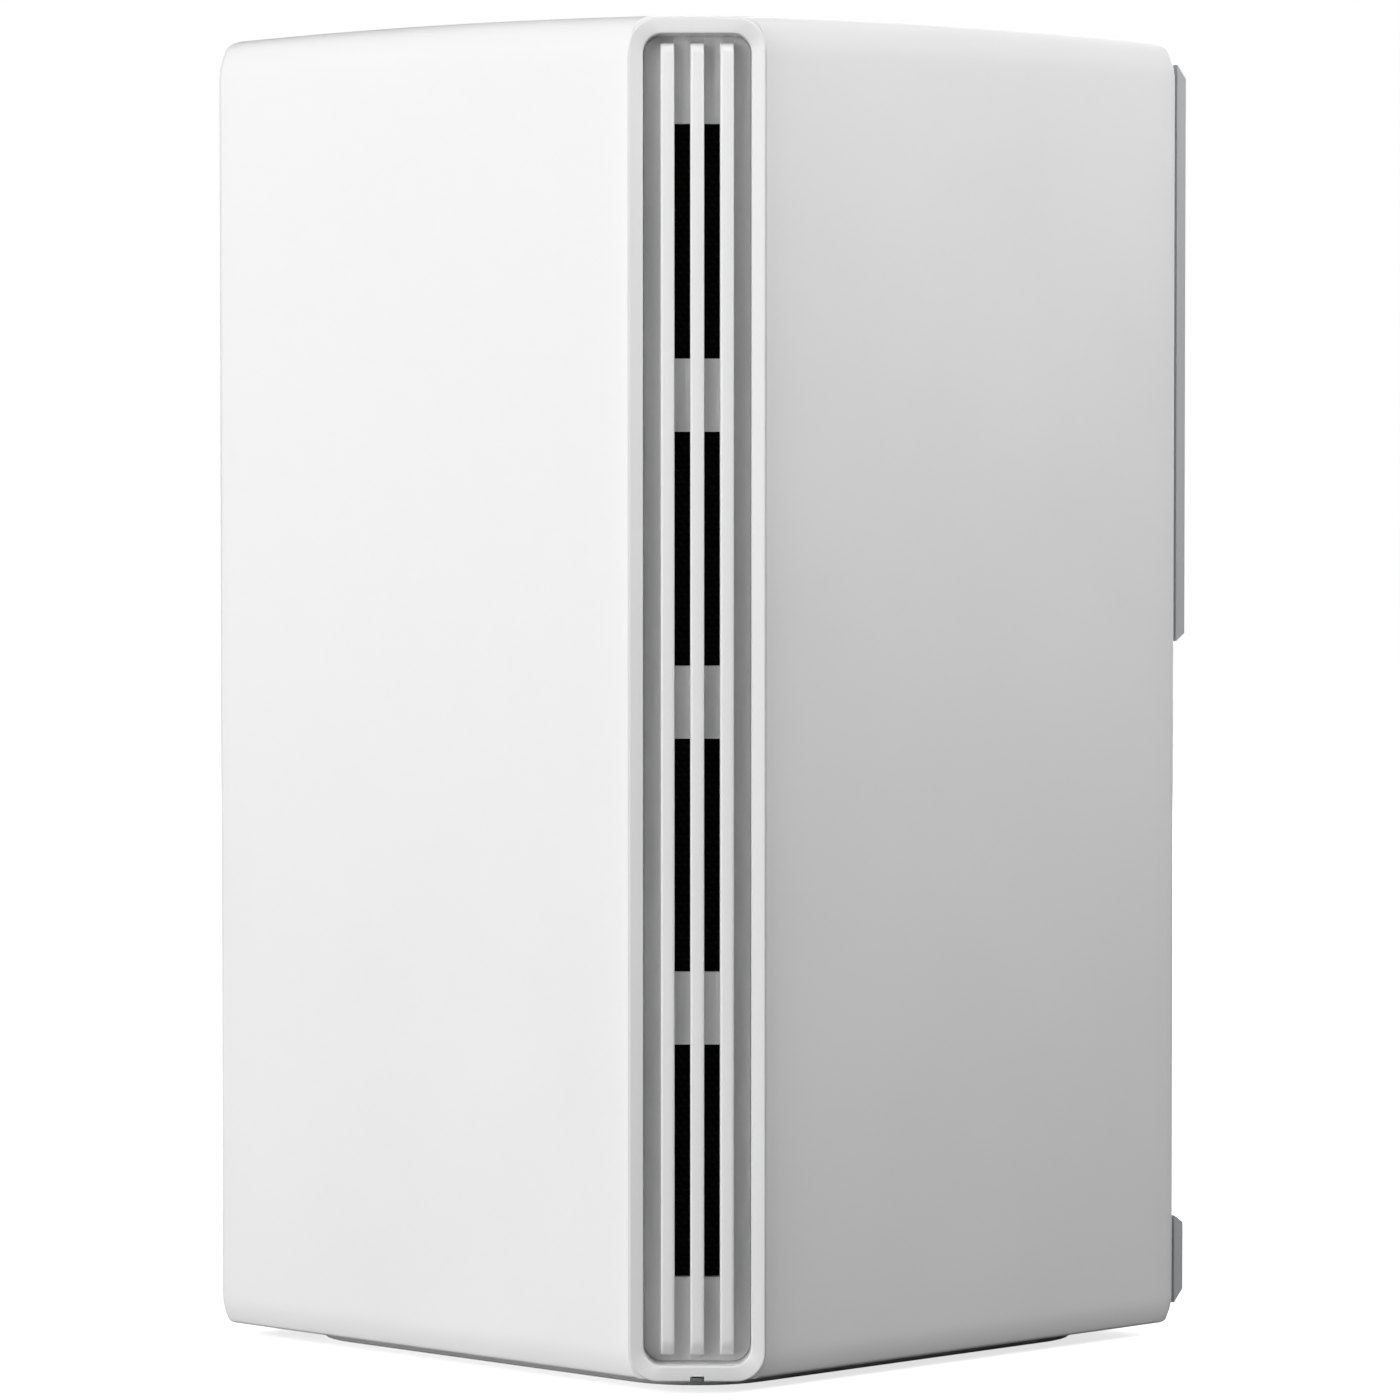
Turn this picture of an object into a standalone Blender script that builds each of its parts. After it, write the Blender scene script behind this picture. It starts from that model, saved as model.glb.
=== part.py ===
"""Tower wireless router: a square white casing with a ventilated corner strip, a raised rear
panel beside the port bay, and the board, antennas and chassis inside.

Lengths are millimetres in the constants and metres in the scene. +Z is up, the corner strip
faces (+X, -Y), the ports face +Y, and the origin is on the ground under the middle of the
whole object.
"""

from math import cos, pi, radians, sin, sqrt

import bmesh
import bpy
from mathutils import Matrix

MM = 0.001
GAP = 0.3                  # clearance between touching pieces

# Casing
BODY_SIDE = 95.7           # across the flat faces
BODY_HEIGHT = 180.0        # at the vertical corners
FOOT_HEIGHT = 1.75         # how far the foot lifts the casing
CORNER_RADIUS = 1.7
WALL = 2.2
CEILING = 3.0
CROWN = 1.45               # how much the middle of the top stands over its corners
HALF = BODY_SIDE / 2
BASE_Z = FOOT_HEIGHT
TOP_Z = BASE_Z + BODY_HEIGHT

# Corner strip, measured along the diagonal from the casing's middle
STRIP_FRONT = 61.5         # front of the frame
STRIP_SEAT = 58.5          # the flat on the casing's corner that carries it
SEAT_WALL = 3.0
FRAME_WIDTH = 18.0
FRAME_RADIUS = 3.8
OPENING_WIDTH = 14.3
OPENING_HEIGHT = 175.9
OPENING_RADIUS = 2.5
COLLAR_WALL = 0.8
COLLAR_BACK = 52.8
FLOOR_FRONT = 56.2         # floor of the recess between the ribs
FLOOR_THICK = 1.2
RIB_COUNT = 3
RIB_WIDTH = 1.8
RIB_PITCH = 3.93
RIB_LENGTH = 173.5
RIB_FRONT = 60.9
RIB_END_RADIUS = 3.0
RIB_END_LENGTH = 2.7
SLOT_ROWS = 4
SLOT_WIDTH = 2.1
SLOT_HEIGHT = 31.0
SLOT_PITCH = 40.67
SLOT_MIDDLE = 89.8         # height of the middle of the slots above the casing's lower edge
LED_WIDTH = 1.85
LED_HEIGHT = 0.7

# Rear panel and port bay, heights above the casing's lower edge
PANEL_PROUD = 2.1
PANEL_MARGIN = 0.7
PANEL_LOW = 2.6
PANEL_HIGH = 177.0
PANEL_BEVEL = 1.9
BAY_LOW = 15.3
BAY_HIGH = 95.8
BAY_BEVEL = 1.4
BAY_LEFT = -10.0
VENT_COUNT = 9
VENT_PITCH = 6.0
VENT_WIDTH = 52.0
VENT_HEIGHT = 2.4
VENT_MIDDLE = 142.0
PLATE_LOW = 16.4
PLATE_HIGH = 94.6
PLATE_LEFT = -4.0
PLATE_RIGHT = 36.0
PLATE_THICK = 1.6
FLANGE = 2.0

# Sockets and buttons
BOARD_X = 15.4             # the board's left side
BOARD_THICK = 1.6
JACK_COUNT = 4
JACK_PITCH = 16.4
JACK_FIRST = 36.6
JACK_WIDE = 13.4           # across, from the board outwards
JACK_TALL = 15.8
JACK_DEEP = 20.0
JACK_SHEET = 0.5
MOUTH_WIDE = 8.2
MOUTH_TALL = 12.0
MOUTH_DEEP = 13.0
DC_Z = 22.6
DC_SIZE = 10.0
DC_DEEP = 12.0
DC_BORE = 6.4
DC_BORE_DEEP = 9.5
DC_PIN = 2.0
BUTTON_X = 6.0
MESH_Z = 78.0
MESH_RADIUS = 3.6
RESET_Z = 60.0
RESET_RADIUS = 1.2
MESH_PROUD = 0.5           # the mesh button stands out, the reset button lies recessed
RESET_SUNK = 0.7
MESH_COLLAR = 1.0
RESET_COLLAR = 0.9
PLUNGER_RADIUS = 1.3
PLUNGER_OUT = 2.2
SWITCH_HALF = 3.0
SWITCH_DEEP = 5.0
SWITCH_SETBACK = 4.6

# Foot and base
FOOT_SIDE = 81.8
FOOT_RADIUS = 12.5
FOOT_RING = 8.0
BASE_THICK = 2.4
BASE_RISE = 1.0            # how far the base plate sits inside the casing

# The frame and the rear panel stand proud, so the casing sits off the origin by half of that.
RIM_REACH = (STRIP_FRONT + FRAME_WIDTH / 2) / sqrt(2)
CENTRE_X = (HALF - RIM_REACH) / 2
CENTRE_Y = (RIM_REACH - HALF - PANEL_PROUD) / 2
BACK = HALF                # casing's rear face, from its middle


def clear_scene():
    """Remove every object of the start-up scene."""
    for item in list(bpy.data.objects):
        bpy.data.objects.remove(item, do_unlink=True)


def material(name, colour, roughness, metallic=0.0):
    """A plain Principled material."""
    made = bpy.data.materials.new(name)
    made.use_nodes = True
    shader = made.node_tree.nodes["Principled BSDF"]
    shader.inputs["Base Color"].default_value = (*colour, 1.0)
    shader.inputs["Roughness"].default_value = roughness
    shader.inputs["Metallic"].default_value = metallic
    return made


clear_scene()

casing = bpy.data.objects.new("casing_axis", None)
bpy.context.scene.collection.objects.link(casing)
casing.location = (CENTRE_X * MM, CENTRE_Y * MM, 0.0)

corner = bpy.data.objects.new("corner_axis", None)
bpy.context.scene.collection.objects.link(corner)
corner.parent = casing
corner.rotation_euler = (0.0, 0.0, radians(45.0))

WHITE = material("white_plastic", (0.86, 0.86, 0.86), 0.45)
FRAME_WHITE = material("frame_plastic", (0.82, 0.82, 0.82), 0.4)
FOOT_GREY = material("foot_grey", (0.42, 0.42, 0.43), 0.7)
PORT_GREY = material("port_grey", (0.55, 0.56, 0.57), 0.5)
BLACK = material("black_plastic", (0.015, 0.015, 0.016), 0.55)
STEEL = material("bright_steel", (0.62, 0.62, 0.6), 0.3, 1.0)
ALUMINIUM = material("heat_sink_aluminium", (0.7, 0.71, 0.72), 0.38, 1.0)
BRASS = material("contact_brass", (0.78, 0.6, 0.25), 0.3, 1.0)
BOARD_GREEN = material("circuit_board", (0.02, 0.13, 0.06), 0.4)
CHASSIS = material("chassis_plastic", (0.3, 0.3, 0.31), 0.55)
SMOKED = material("smoked_window", (0.25, 0.25, 0.26), 0.25)


# ---- shape helpers -------------------------------------------------------------------------


def rounded_rectangle(width, height, radius, steps=5, middle=(0.0, 0.0)):
    """Corner points of a rectangle with round corners, anticlockwise."""
    points = []
    corners = ((1, 1, 0.0), (-1, 1, 90.0), (-1, -1, 180.0), (1, -1, 270.0))
    for side_x, side_y, start in corners:
        for step in range(steps + 1):
            angle = radians(start + 90.0 * step / steps)
            x = side_x * (width / 2 - radius) + radius * cos(angle)
            y = side_y * (height / 2 - radius) + radius * sin(angle)
            points.append((middle[0] + x, middle[1] + y))
    return points


def rectangle(low_x, low_y, high_x, high_y):
    return [(low_x, low_y), (high_x, low_y), (high_x, high_y), (low_x, high_y)]


def circle(radius, middle=(0.0, 0.0), steps=20):
    turns = (2 * pi * step / steps for step in range(steps))
    return [(middle[0] + radius * cos(a), middle[1] + radius * sin(a)) for a in turns]


def chamfered_square(half, diagonal, radius):
    """A square whose (+X, -Y) corner is cut flat at a distance along the diagonal."""
    reach = diagonal * sqrt(2) - half
    flat = [(reach, -half), (half, -reach)]
    points = []
    for side_x, side_y, start in ((1, 1, 0.0), (-1, 1, 90.0), (-1, -1, 180.0)):
        for step in range(5):
            angle = radians(start + 90.0 * step / 4)
            x = side_x * (half - radius) + radius * cos(angle)
            y = side_y * (half - radius) + radius * sin(angle)
            points.append((x, y))
    return points + flat


def extrusion(outline, axis, start, end):
    """A prism on an outline. The outline's two numbers are the two other axes, in order."""
    bm = bmesh.new()
    rows = []
    for level in (start, end):
        row = []
        for a, b in outline:
            spot = {"x": (level, a, b), "y": (a, level, b), "z": (a, b, level)}[axis]
            row.append(bm.verts.new([value * MM for value in spot]))
        rows.append(row)
    count = len(outline)
    bm.faces.new(rows[0])
    bm.faces.new(rows[1])
    for index in range(count):
        after = (index + 1) % count
        bm.faces.new((rows[0][index], rows[0][after], rows[1][after], rows[1][index]))
    bmesh.ops.recalc_face_normals(bm, faces=bm.faces)
    return bm


def box(low, high):
    """A block between two corners."""
    return extrusion(rectangle(low[0], low[1], high[0], high[1]), "z", low[2], high[2])


def add_object(name, bm, parent):
    mesh = bpy.data.meshes.new(name)
    bm.to_mesh(mesh)
    bm.free()
    made = bpy.data.objects.new(name, mesh)
    bpy.context.scene.collection.objects.link(made)
    made.parent = parent
    return made


def piece(name, bm, finish, joins=(), cuts=(), parent=casing, smooth=True):
    """A named solid, with others joined to it and then cut out of it."""
    made = add_object(name, bm, parent)
    made.data.materials.append(finish)
    for operation, tools in (("UNION", joins), ("DIFFERENCE", cuts)):
        for number, tool_shape in enumerate(tools):
            tool = add_object(f"{name}_{operation.lower()}_{number}", tool_shape, parent)
            tool.hide_render = True
            tool.display_type = "WIRE"
            step = made.modifiers.new(tool.name, "BOOLEAN")
            step.operation = operation
            step.solver = "EXACT"
            step.object = tool
    if smooth:
        made.data.shade_smooth()
        made.data.set_sharp_from_angle(angle=radians(35.0))
    return made


def soften(made, width, segments=1):
    """Round the sharp edges of a piece."""
    bevel = made.modifiers.new("edges", "BEVEL")
    bevel.width = width * MM
    bevel.segments = segments
    bevel.limit_method = "ANGLE"
    bevel.angle_limit = radians(50.0)
    return made


# ---- casing --------------------------------------------------------------------------------


def crown_height(x, y):
    """How far the dome of the top stands over its corners at a point."""
    return CROWN * (1.0 - (x * x + y * y) / (2 * HALF * HALF))


def casing_rings():
    """(inset, height, on the crown) from the lower edge up over the shoulder to the middle."""
    rings = [(0.75, BASE_Z, False), (0.45, BASE_Z + 0.35, False), (0.22, BASE_Z + 1.8, False)]
    rings += [(0.0, BASE_Z + 4.5, False), (0.0, TOP_Z - 4.5, True)]
    for inset, drop in ((0.16, 3.0), (0.42, 1.6), (0.7, 0.8), (1.1, 0.3), (1.8, 0.04)):
        rings.append((inset, TOP_Z - drop, True))
    rings += [(HALF * share, TOP_Z, True) for share in (0.25, 0.5, 0.75)]
    return rings


def casing_solid():
    """The outer shape of the casing, lofted ring by ring and closed at both ends."""
    bm = bmesh.new()
    rows = []
    for inset, height, crowned in casing_rings():
        side = BODY_SIDE - 2 * inset
        radius = max(CORNER_RADIUS - inset * 0.3, 0.6)
        row = []
        for x, y in rounded_rectangle(side, side, radius):
            rise = crown_height(x, y) if crowned else 0.0
            row.append(bm.verts.new((x * MM, y * MM, (height + rise) * MM)))
        rows.append(row)
    count = len(rows[0])
    for below, above in zip(rows, rows[1:]):
        for index in range(count):
            after = (index + 1) % count
            bm.faces.new((below[index], below[after], above[after], above[index]))
    bm.faces.new(rows[0])
    peak = bm.verts.new((0.0, 0.0, (TOP_Z + CROWN) * MM))
    for index in range(count):
        bm.faces.new((rows[-1][index], rows[-1][(index + 1) % count], peak))
    bmesh.ops.recalc_face_normals(bm, faces=bm.faces)
    return bm


def corner_tool(bm):
    """Turn a strip shape, modelled facing -Y, to the casing's corner."""
    bmesh.ops.rotate(bm, cent=(0, 0, 0), matrix=Matrix.Rotation(radians(45.0), 3, "Z"), verts=bm.verts)
    return bm


MID_Z = BASE_Z + BODY_HEIGHT / 2
collar_width = OPENING_WIDTH + 2 * COLLAR_WALL
collar_height = OPENING_HEIGHT + 2 * COLLAR_WALL

cavity = extrusion(
    chamfered_square(HALF - WALL, STRIP_SEAT - SEAT_WALL, 1.2), "z", BASE_Z - 1.0, TOP_Z - CEILING
)
corner_flat = corner_tool(box((-30, -90, BASE_Z - 5), (30, -STRIP_SEAT, TOP_Z + 8)))
collar_hole = corner_tool(
    extrusion(
        rounded_rectangle(
            collar_width + 2 * GAP, collar_height + 2 * GAP, OPENING_RADIUS + COLLAR_WALL + GAP,
            middle=(0, MID_Z),
        ),
        "y", -STRIP_SEAT - 3, -COLLAR_BACK + 1,
    )
)
plate_hole = box(
    (PLATE_LEFT - GAP, BACK - 6, BASE_Z + PLATE_LOW - GAP),
    (PLATE_RIGHT + GAP, BACK + 3, BASE_Z + PLATE_HIGH + GAP),
)
vent_span = (VENT_COUNT - 1) * VENT_PITCH + VENT_HEIGHT
vent_hole = box(
    (-VENT_WIDTH / 2 - 1, BACK - 6, BASE_Z + VENT_MIDDLE - vent_span / 2 - 1),
    (VENT_WIDTH / 2 + 1, BACK + 3, BASE_Z + VENT_MIDDLE + vent_span / 2 + 1),
)
piece(
    "outer_shell", casing_solid(), WHITE,
    cuts=[cavity, corner_flat, collar_hole, plate_hole, vent_hole],
)

# ---- corner strip --------------------------------------------------------------------------

led_notch = box(
    (-LED_WIDTH / 2, -STRIP_FRONT - 1, BASE_Z - 1),
    (LED_WIDTH / 2, -STRIP_SEAT + 1, BASE_Z + LED_HEIGHT),
)
frame_opening = extrusion(
    rounded_rectangle(OPENING_WIDTH, OPENING_HEIGHT, OPENING_RADIUS, middle=(0, MID_Z)),
    "y", -STRIP_FRONT - 2, -COLLAR_BACK + 2,
)
frame_collar = extrusion(
    rounded_rectangle(
        collar_width, collar_height, OPENING_RADIUS + COLLAR_WALL, middle=(0, MID_Z)
    ),
    "y", -STRIP_SEAT - 1.5, -COLLAR_BACK,
)
grille_frame = piece(
    "grille_frame",
    extrusion(
        rounded_rectangle(FRAME_WIDTH, BODY_HEIGHT, FRAME_RADIUS, middle=(0, MID_Z)),
        "y", -STRIP_FRONT, -STRIP_SEAT - GAP,
    ),
    FRAME_WHITE, joins=[frame_collar], cuts=[frame_opening, led_notch], parent=corner,
)


def rib(number):
    """One upright rib: its front face turns back to the floor in a quarter round at each end."""
    middle_x = (number - (RIB_COUNT - 1) / 2) * RIB_PITCH
    low = MID_Z - RIB_LENGTH / 2
    high = MID_Z + RIB_LENGTH / 2
    front = -RIB_FRONT
    root = -FLOOR_FRONT + FLOOR_THICK / 2 - 0.1
    turn = [radians(90.0 * step / 5) for step in range(6)]
    side = [(root, low)]
    side += [
        (front + RIB_END_RADIUS * (1 - sin(a)), low + RIB_END_LENGTH * (1 - cos(a))) for a in turn
    ]
    side += [
        (front + RIB_END_RADIUS * (1 - cos(a)), high - RIB_END_LENGTH * (1 - sin(a))) for a in turn
    ]
    side += [(root, high)]
    return extrusion(side, "x", middle_x - RIB_WIDTH / 2, middle_x + RIB_WIDTH / 2)


def slot(column, row):
    """One air slot through the floor, between two ribs."""
    middle_x = (column - 0.5) * RIB_PITCH
    middle_z = BASE_Z + SLOT_MIDDLE + (row - (SLOT_ROWS - 1) / 2) * SLOT_PITCH
    return box(
        (middle_x - SLOT_WIDTH / 2 + 0.02, -FLOOR_FRONT - 0.2, middle_z - SLOT_HEIGHT / 2),
        (middle_x + SLOT_WIDTH / 2 - 0.02, -FLOOR_FRONT + FLOOR_THICK + 2, middle_z + SLOT_HEIGHT / 2),
    )


piece(
    "grille_insert",
    extrusion(
        rounded_rectangle(
            OPENING_WIDTH - 2 * GAP, OPENING_HEIGHT - 2 * GAP, OPENING_RADIUS - GAP,
            middle=(0, MID_Z),
        ),
        "y", -FLOOR_FRONT, -FLOOR_FRONT + FLOOR_THICK,
    ),
    FRAME_WHITE,
    joins=[rib(number) for number in range(RIB_COUNT)],
    cuts=[slot(column, row) for column in (0, 1) for row in range(SLOT_ROWS)],
    parent=corner,
)
screen_front = -FLOOR_FRONT + FLOOR_THICK + GAP
piece(
    "dust_screen",
    extrusion(
        rounded_rectangle(OPENING_WIDTH - 4, OPENING_HEIGHT - 6, 1.5, middle=(0, MID_Z)),
        "y", screen_front, screen_front + 0.6,
    ),
    BLACK, parent=corner,
)
piece(
    "led_light_pipe",
    box(
        (-LED_WIDTH / 2 + GAP, -STRIP_FRONT + 0.15, BASE_Z + 0.02),
        (LED_WIDTH / 2 - GAP, -STRIP_SEAT - 0.1, BASE_Z + LED_HEIGHT - GAP + 0.1),
    ),
    SMOKED, parent=corner, smooth=False,
)
led_board_low = BASE_Z + BASE_RISE + BASE_THICK + GAP
piece(
    "status_led_board", box((-5, -50.5, led_board_low), (5, -49.3, led_board_low + 9)),
    BOARD_GREEN, parent=corner, smooth=False,
)
piece(
    "status_led",
    box((-0.8, -51.4, led_board_low + 1), (0.8, -50.5 - GAP, led_board_low + 2.6)),
    SMOKED, parent=corner, smooth=False,
)

# ---- rear panel and port plate ---------------------------------------------------------------


def bevelled_band(low, high, low_bevel, high_bevel, left, right, out_y=BACK + PANEL_PROUD):
    """A slab lying on the rear face, whose upper and lower ends slope at 45 degrees."""
    side = [
        (BACK + GAP, low), (BACK + GAP, high),
        (out_y, high + high_bevel), (out_y, low + low_bevel),
    ]
    return extrusion(side, "x", left, right)


panel_half = HALF - PANEL_MARGIN
bay_cut = extrusion(
    [
        (BACK - 1, BASE_Z + BAY_LOW + 0.5), (BACK - 1, BASE_Z + BAY_HIGH - 0.5),
        (BACK + PANEL_PROUD + 1, BASE_Z + BAY_HIGH + BAY_BEVEL + 0.6),
        (BACK + PANEL_PROUD + 1, BASE_Z + BAY_LOW - BAY_BEVEL - 0.6),
    ],
    "x", BAY_LEFT, HALF + 5,
)
vents = []
for number in range(VENT_COUNT):
    level = BASE_Z + VENT_MIDDLE + (number - (VENT_COUNT - 1) / 2) * VENT_PITCH
    vents.append(
        extrusion(
            rounded_rectangle(VENT_WIDTH, VENT_HEIGHT, VENT_HEIGHT / 2 - 0.05, 3, (0, level)),
            "y", BACK - 1, BACK + PANEL_PROUD + 1,
        )
    )
piece(
    "rear_panel",
    bevelled_band(
        BASE_Z + PANEL_LOW, BASE_Z + PANEL_HIGH, PANEL_BEVEL, -PANEL_BEVEL, -panel_half, panel_half
    ),
    PORT_GREY, cuts=[bay_cut, *vents],
)

plate_front = BACK - GAP
plate_back = plate_front - PLATE_THICK
flange_front = BACK - WALL - GAP
dc_x = BOARD_X + BOARD_THICK + GAP + DC_SIZE / 2
jack_x = BOARD_X + BOARD_THICK + GAP + JACK_WIDE / 2
jack_levels = [BASE_Z + JACK_FIRST + number * JACK_PITCH for number in range(JACK_COUNT)]


def across_plate(outline):
    return extrusion(outline, "y", BACK - 8, BACK + 3)


plate_cuts = [
    box(
        (jack_x - JACK_WIDE / 2 + 0.4, BACK - 9, level - JACK_TALL / 2 + 0.4),
        (jack_x + JACK_WIDE / 2 - 0.4, BACK + 3, level + JACK_TALL / 2 - 0.4),
    )
    for level in jack_levels
]
plate_cuts += [
    across_plate(circle(4.2, (dc_x, BASE_Z + DC_Z))),
    across_plate(circle(MESH_RADIUS + GAP, (BUTTON_X, BASE_Z + MESH_Z), 24)),
    across_plate(circle(RESET_RADIUS + GAP, (BUTTON_X, BASE_Z + RESET_Z), 12)),
    box(
        (PLATE_LEFT + FLANGE, BACK - 9, BASE_Z + PLATE_LOW + 0.8),
        (PLATE_RIGHT - FLANGE, plate_back, BASE_Z + PLATE_HIGH - 0.8),
    ),
]
piece(
    "port_plate",
    box(
        (PLATE_LEFT, flange_front - 1.2, BASE_Z + PLATE_LOW),
        (PLATE_RIGHT, plate_front, BASE_Z + PLATE_HIGH),
    ),
    PORT_GREY,
    joins=[
        box(
            (PLATE_LEFT - FLANGE, flange_front - 1.2, BASE_Z + PLATE_LOW - FLANGE),
            (PLATE_RIGHT + FLANGE, flange_front, BASE_Z + PLATE_HIGH + FLANGE),
        )
    ],
    cuts=plate_cuts, smooth=False,
)

# ---- sockets -------------------------------------------------------------------------------

jack_front = plate_back - GAP
for number, level in enumerate(jack_levels, start=1):
    low = (jack_x - JACK_WIDE / 2, jack_front - JACK_DEEP, level - JACK_TALL / 2)
    high = (jack_x + JACK_WIDE / 2, jack_front, level + JACK_TALL / 2)
    inner_low = [value + JACK_SHEET for value in low]
    inner_high = (high[0] - JACK_SHEET, jack_front + 2, high[2] - JACK_SHEET)
    piece(
        f"lan_jack_shield_{number}", box(low, high), STEEL,
        cuts=[box(inner_low, inner_high)], smooth=False,
    )
    core_low = [value + GAP for value in inner_low]
    core_high = (inner_high[0] - GAP, jack_front - GAP, inner_high[2] - GAP)
    mouth = box(
        (jack_x - MOUTH_WIDE / 2 - 1.2, core_high[1] - MOUTH_DEEP, level - MOUTH_TALL / 2),
        (jack_x + MOUTH_WIDE / 2 - 1.2, core_high[1] + 2, level + MOUTH_TALL / 2),
    )
    latch = box(
        (jack_x + MOUTH_WIDE / 2 - 2, core_high[1] - MOUTH_DEEP + 2, level - 3.1),
        (jack_x + MOUTH_WIDE / 2 + 0.9, core_high[1] + 2, level + 3.1),
    )
    piece(f"lan_jack_core_{number}", box(core_low, core_high), BLACK, cuts=[mouth, latch], smooth=False)

dc_level = BASE_Z + DC_Z
dc_bore_end = jack_front - DC_BORE_DEEP
piece(
    "dc_jack_body",
    box(
        (dc_x - DC_SIZE / 2, jack_front - DC_DEEP, dc_level - DC_SIZE / 2),
        (dc_x + DC_SIZE / 2, jack_front, dc_level + DC_SIZE / 2),
    ),
    BLACK,
    cuts=[extrusion(circle(DC_BORE / 2, (dc_x, dc_level)), "y", dc_bore_end, jack_front + 2)],
)
piece(
    "dc_jack_pin",
    extrusion(circle(DC_PIN / 2, (dc_x, dc_level), 12), "y", dc_bore_end + GAP, jack_front - 1.0),
    BRASS,
)

# ---- buttons -------------------------------------------------------------------------------


def push_button(name, radius, level, front, flange_radius, plunger_back, sides):
    """A cap with a flange behind the plate. Its origin is on its sliding axis."""
    flange_y = plate_back - 0.35
    shape = extrusion(circle(radius, (0, 0), sides), "y", flange_y - 0.5 - BACK, front - BACK)
    flange = extrusion(circle(flange_radius, (0, 0), sides), "y", plunger_back - BACK, flange_y - BACK)
    made = piece(name, shape, PORT_GREY, joins=[flange])
    for item in [made, *(step.object for step in made.modifiers)]:
        item.location = (BUTTON_X * MM, BACK * MM, level * MM)
    return made


switch_front = plate_back - SWITCH_SETBACK
plunger_front = switch_front + PLUNGER_OUT
for name, radius, level, front, collar, sides in (
    ("mesh", MESH_RADIUS, BASE_Z + MESH_Z, plate_front + MESH_PROUD, MESH_COLLAR, 24),
    ("reset", RESET_RADIUS, BASE_Z + RESET_Z, plate_front - RESET_SUNK, RESET_COLLAR, 12),
):
    push_button(f"{name}_button", radius, level, front, radius + collar, plunger_front, sides)
    spot = (BUTTON_X, level)
    piece(
        f"{name}_switch_plunger",
        extrusion(circle(PLUNGER_RADIUS, spot, 12), "y", switch_front - 1.0, plunger_front - GAP),
        BLACK,
    )
    well = extrusion(
        circle(PLUNGER_RADIUS + GAP, spot, 12), "y", switch_front - 2.4, switch_front + 1
    )
    piece(
        f"{name}_switch",
        box(
            (BUTTON_X - SWITCH_HALF, switch_front - SWITCH_DEEP, level - SWITCH_HALF),
            (BOARD_X - GAP, switch_front, level + SWITCH_HALF),
        ),
        BLACK, cuts=[well],
    )

# ---- main board ----------------------------------------------------------------------------

BOARD_LOW = 11.0
BOARD_HIGH = 166.0
BOARD_FRONT = -26.0
BOARD_STEP_Y = 37.0        # above the sockets the board stops short of the antenna carrier
BOARD_STEP_Z = 95.0
BOARD_FOOT_Y = 42.0        # below them it stops short of the port plate's flange
BOARD_FOOT_Z = 19.5
board_back = plate_back - 1.0
board_right = BOARD_X + BOARD_THICK
screw_y = BOARD_FRONT + 5.0
screw_levels = (24.0, 150.0)
SCREW_HEAD = 2.6
SCREW_SHANK = 1.2
SCREW_HEAD_THICK = 1.6


def through_board(low_y, low_z, high_y, high_z):
    """A block that cuts a window of the board from side to side."""
    return box((BOARD_X - 2, low_y, low_z), (board_right + 2, high_y, high_z))


screw_clearance = [
    extrusion(circle(SCREW_SHANK + GAP, (screw_y, level), 16), "x", BOARD_X - 2, board_right + 2)
    for level in screw_levels
]
piece(
    "main_board",
    box((BOARD_X, BOARD_FRONT, BOARD_LOW), (board_right, board_back, BOARD_HIGH)),
    BOARD_GREEN,
    cuts=[
        through_board(BOARD_STEP_Y, BOARD_STEP_Z, board_back + 2, BOARD_HIGH + 2),
        through_board(BOARD_FOOT_Y, BOARD_LOW - 2, board_back + 2, BOARD_FOOT_Z),
        *screw_clearance,
    ],
)


def slab(name, low_x, high_x, middle, half, finish, smooth=False):
    """A part lying on the board: its X span, its middle (y, z) and its half sizes (y, z)."""
    low = (low_x, middle[0] - half[0], middle[1] - half[1])
    high = (high_x, middle[0] + half[0], middle[1] + half[1])
    return piece(name, box(low, high), finish, smooth=smooth)


CHIP = (7.0, 118.0)            # middle of the processor (y, z)
CHIP_HALF = 9.0
CHIP_THICK = 1.4
PAD_HALF = 8.0
PAD_THICK = 0.8
SINK_LOW = 98.0
SINK_HIGH = 158.0
chip_left = BOARD_X - GAP - CHIP_THICK
pad_left = chip_left - GAP - PAD_THICK
sink_face = pad_left - GAP
slab("main_processor", chip_left, BOARD_X - GAP, CHIP, (CHIP_HALF, CHIP_HALF), BLACK)
slab("thermal_pad", pad_left, chip_left - GAP, CHIP, (PAD_HALF, PAD_HALF), CHASSIS)


def comb(fins, pitch, thick, tall, base, middle_y, face_x):
    """Outline of a finned plate: fins stand on the base towards -X."""
    half = ((fins - 1) * pitch + thick) / 2
    points = [(face_x, middle_y - half), (face_x, middle_y + half)]
    for number in reversed(range(fins)):
        edge = middle_y - half + number * pitch
        points += [(face_x - base - tall, edge + thick), (face_x - base - tall, edge)]
        if number:
            points += [(face_x - base, edge), (face_x - base, edge - pitch + thick)]
    return points


piece(
    "heat_sink",
    extrusion(comb(9, 5.5, 1.3, 14.0, 3.0, CHIP[0], sink_face), "z", SINK_LOW, SINK_HIGH),
    ALUMINIUM, smooth=False,
)

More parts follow.
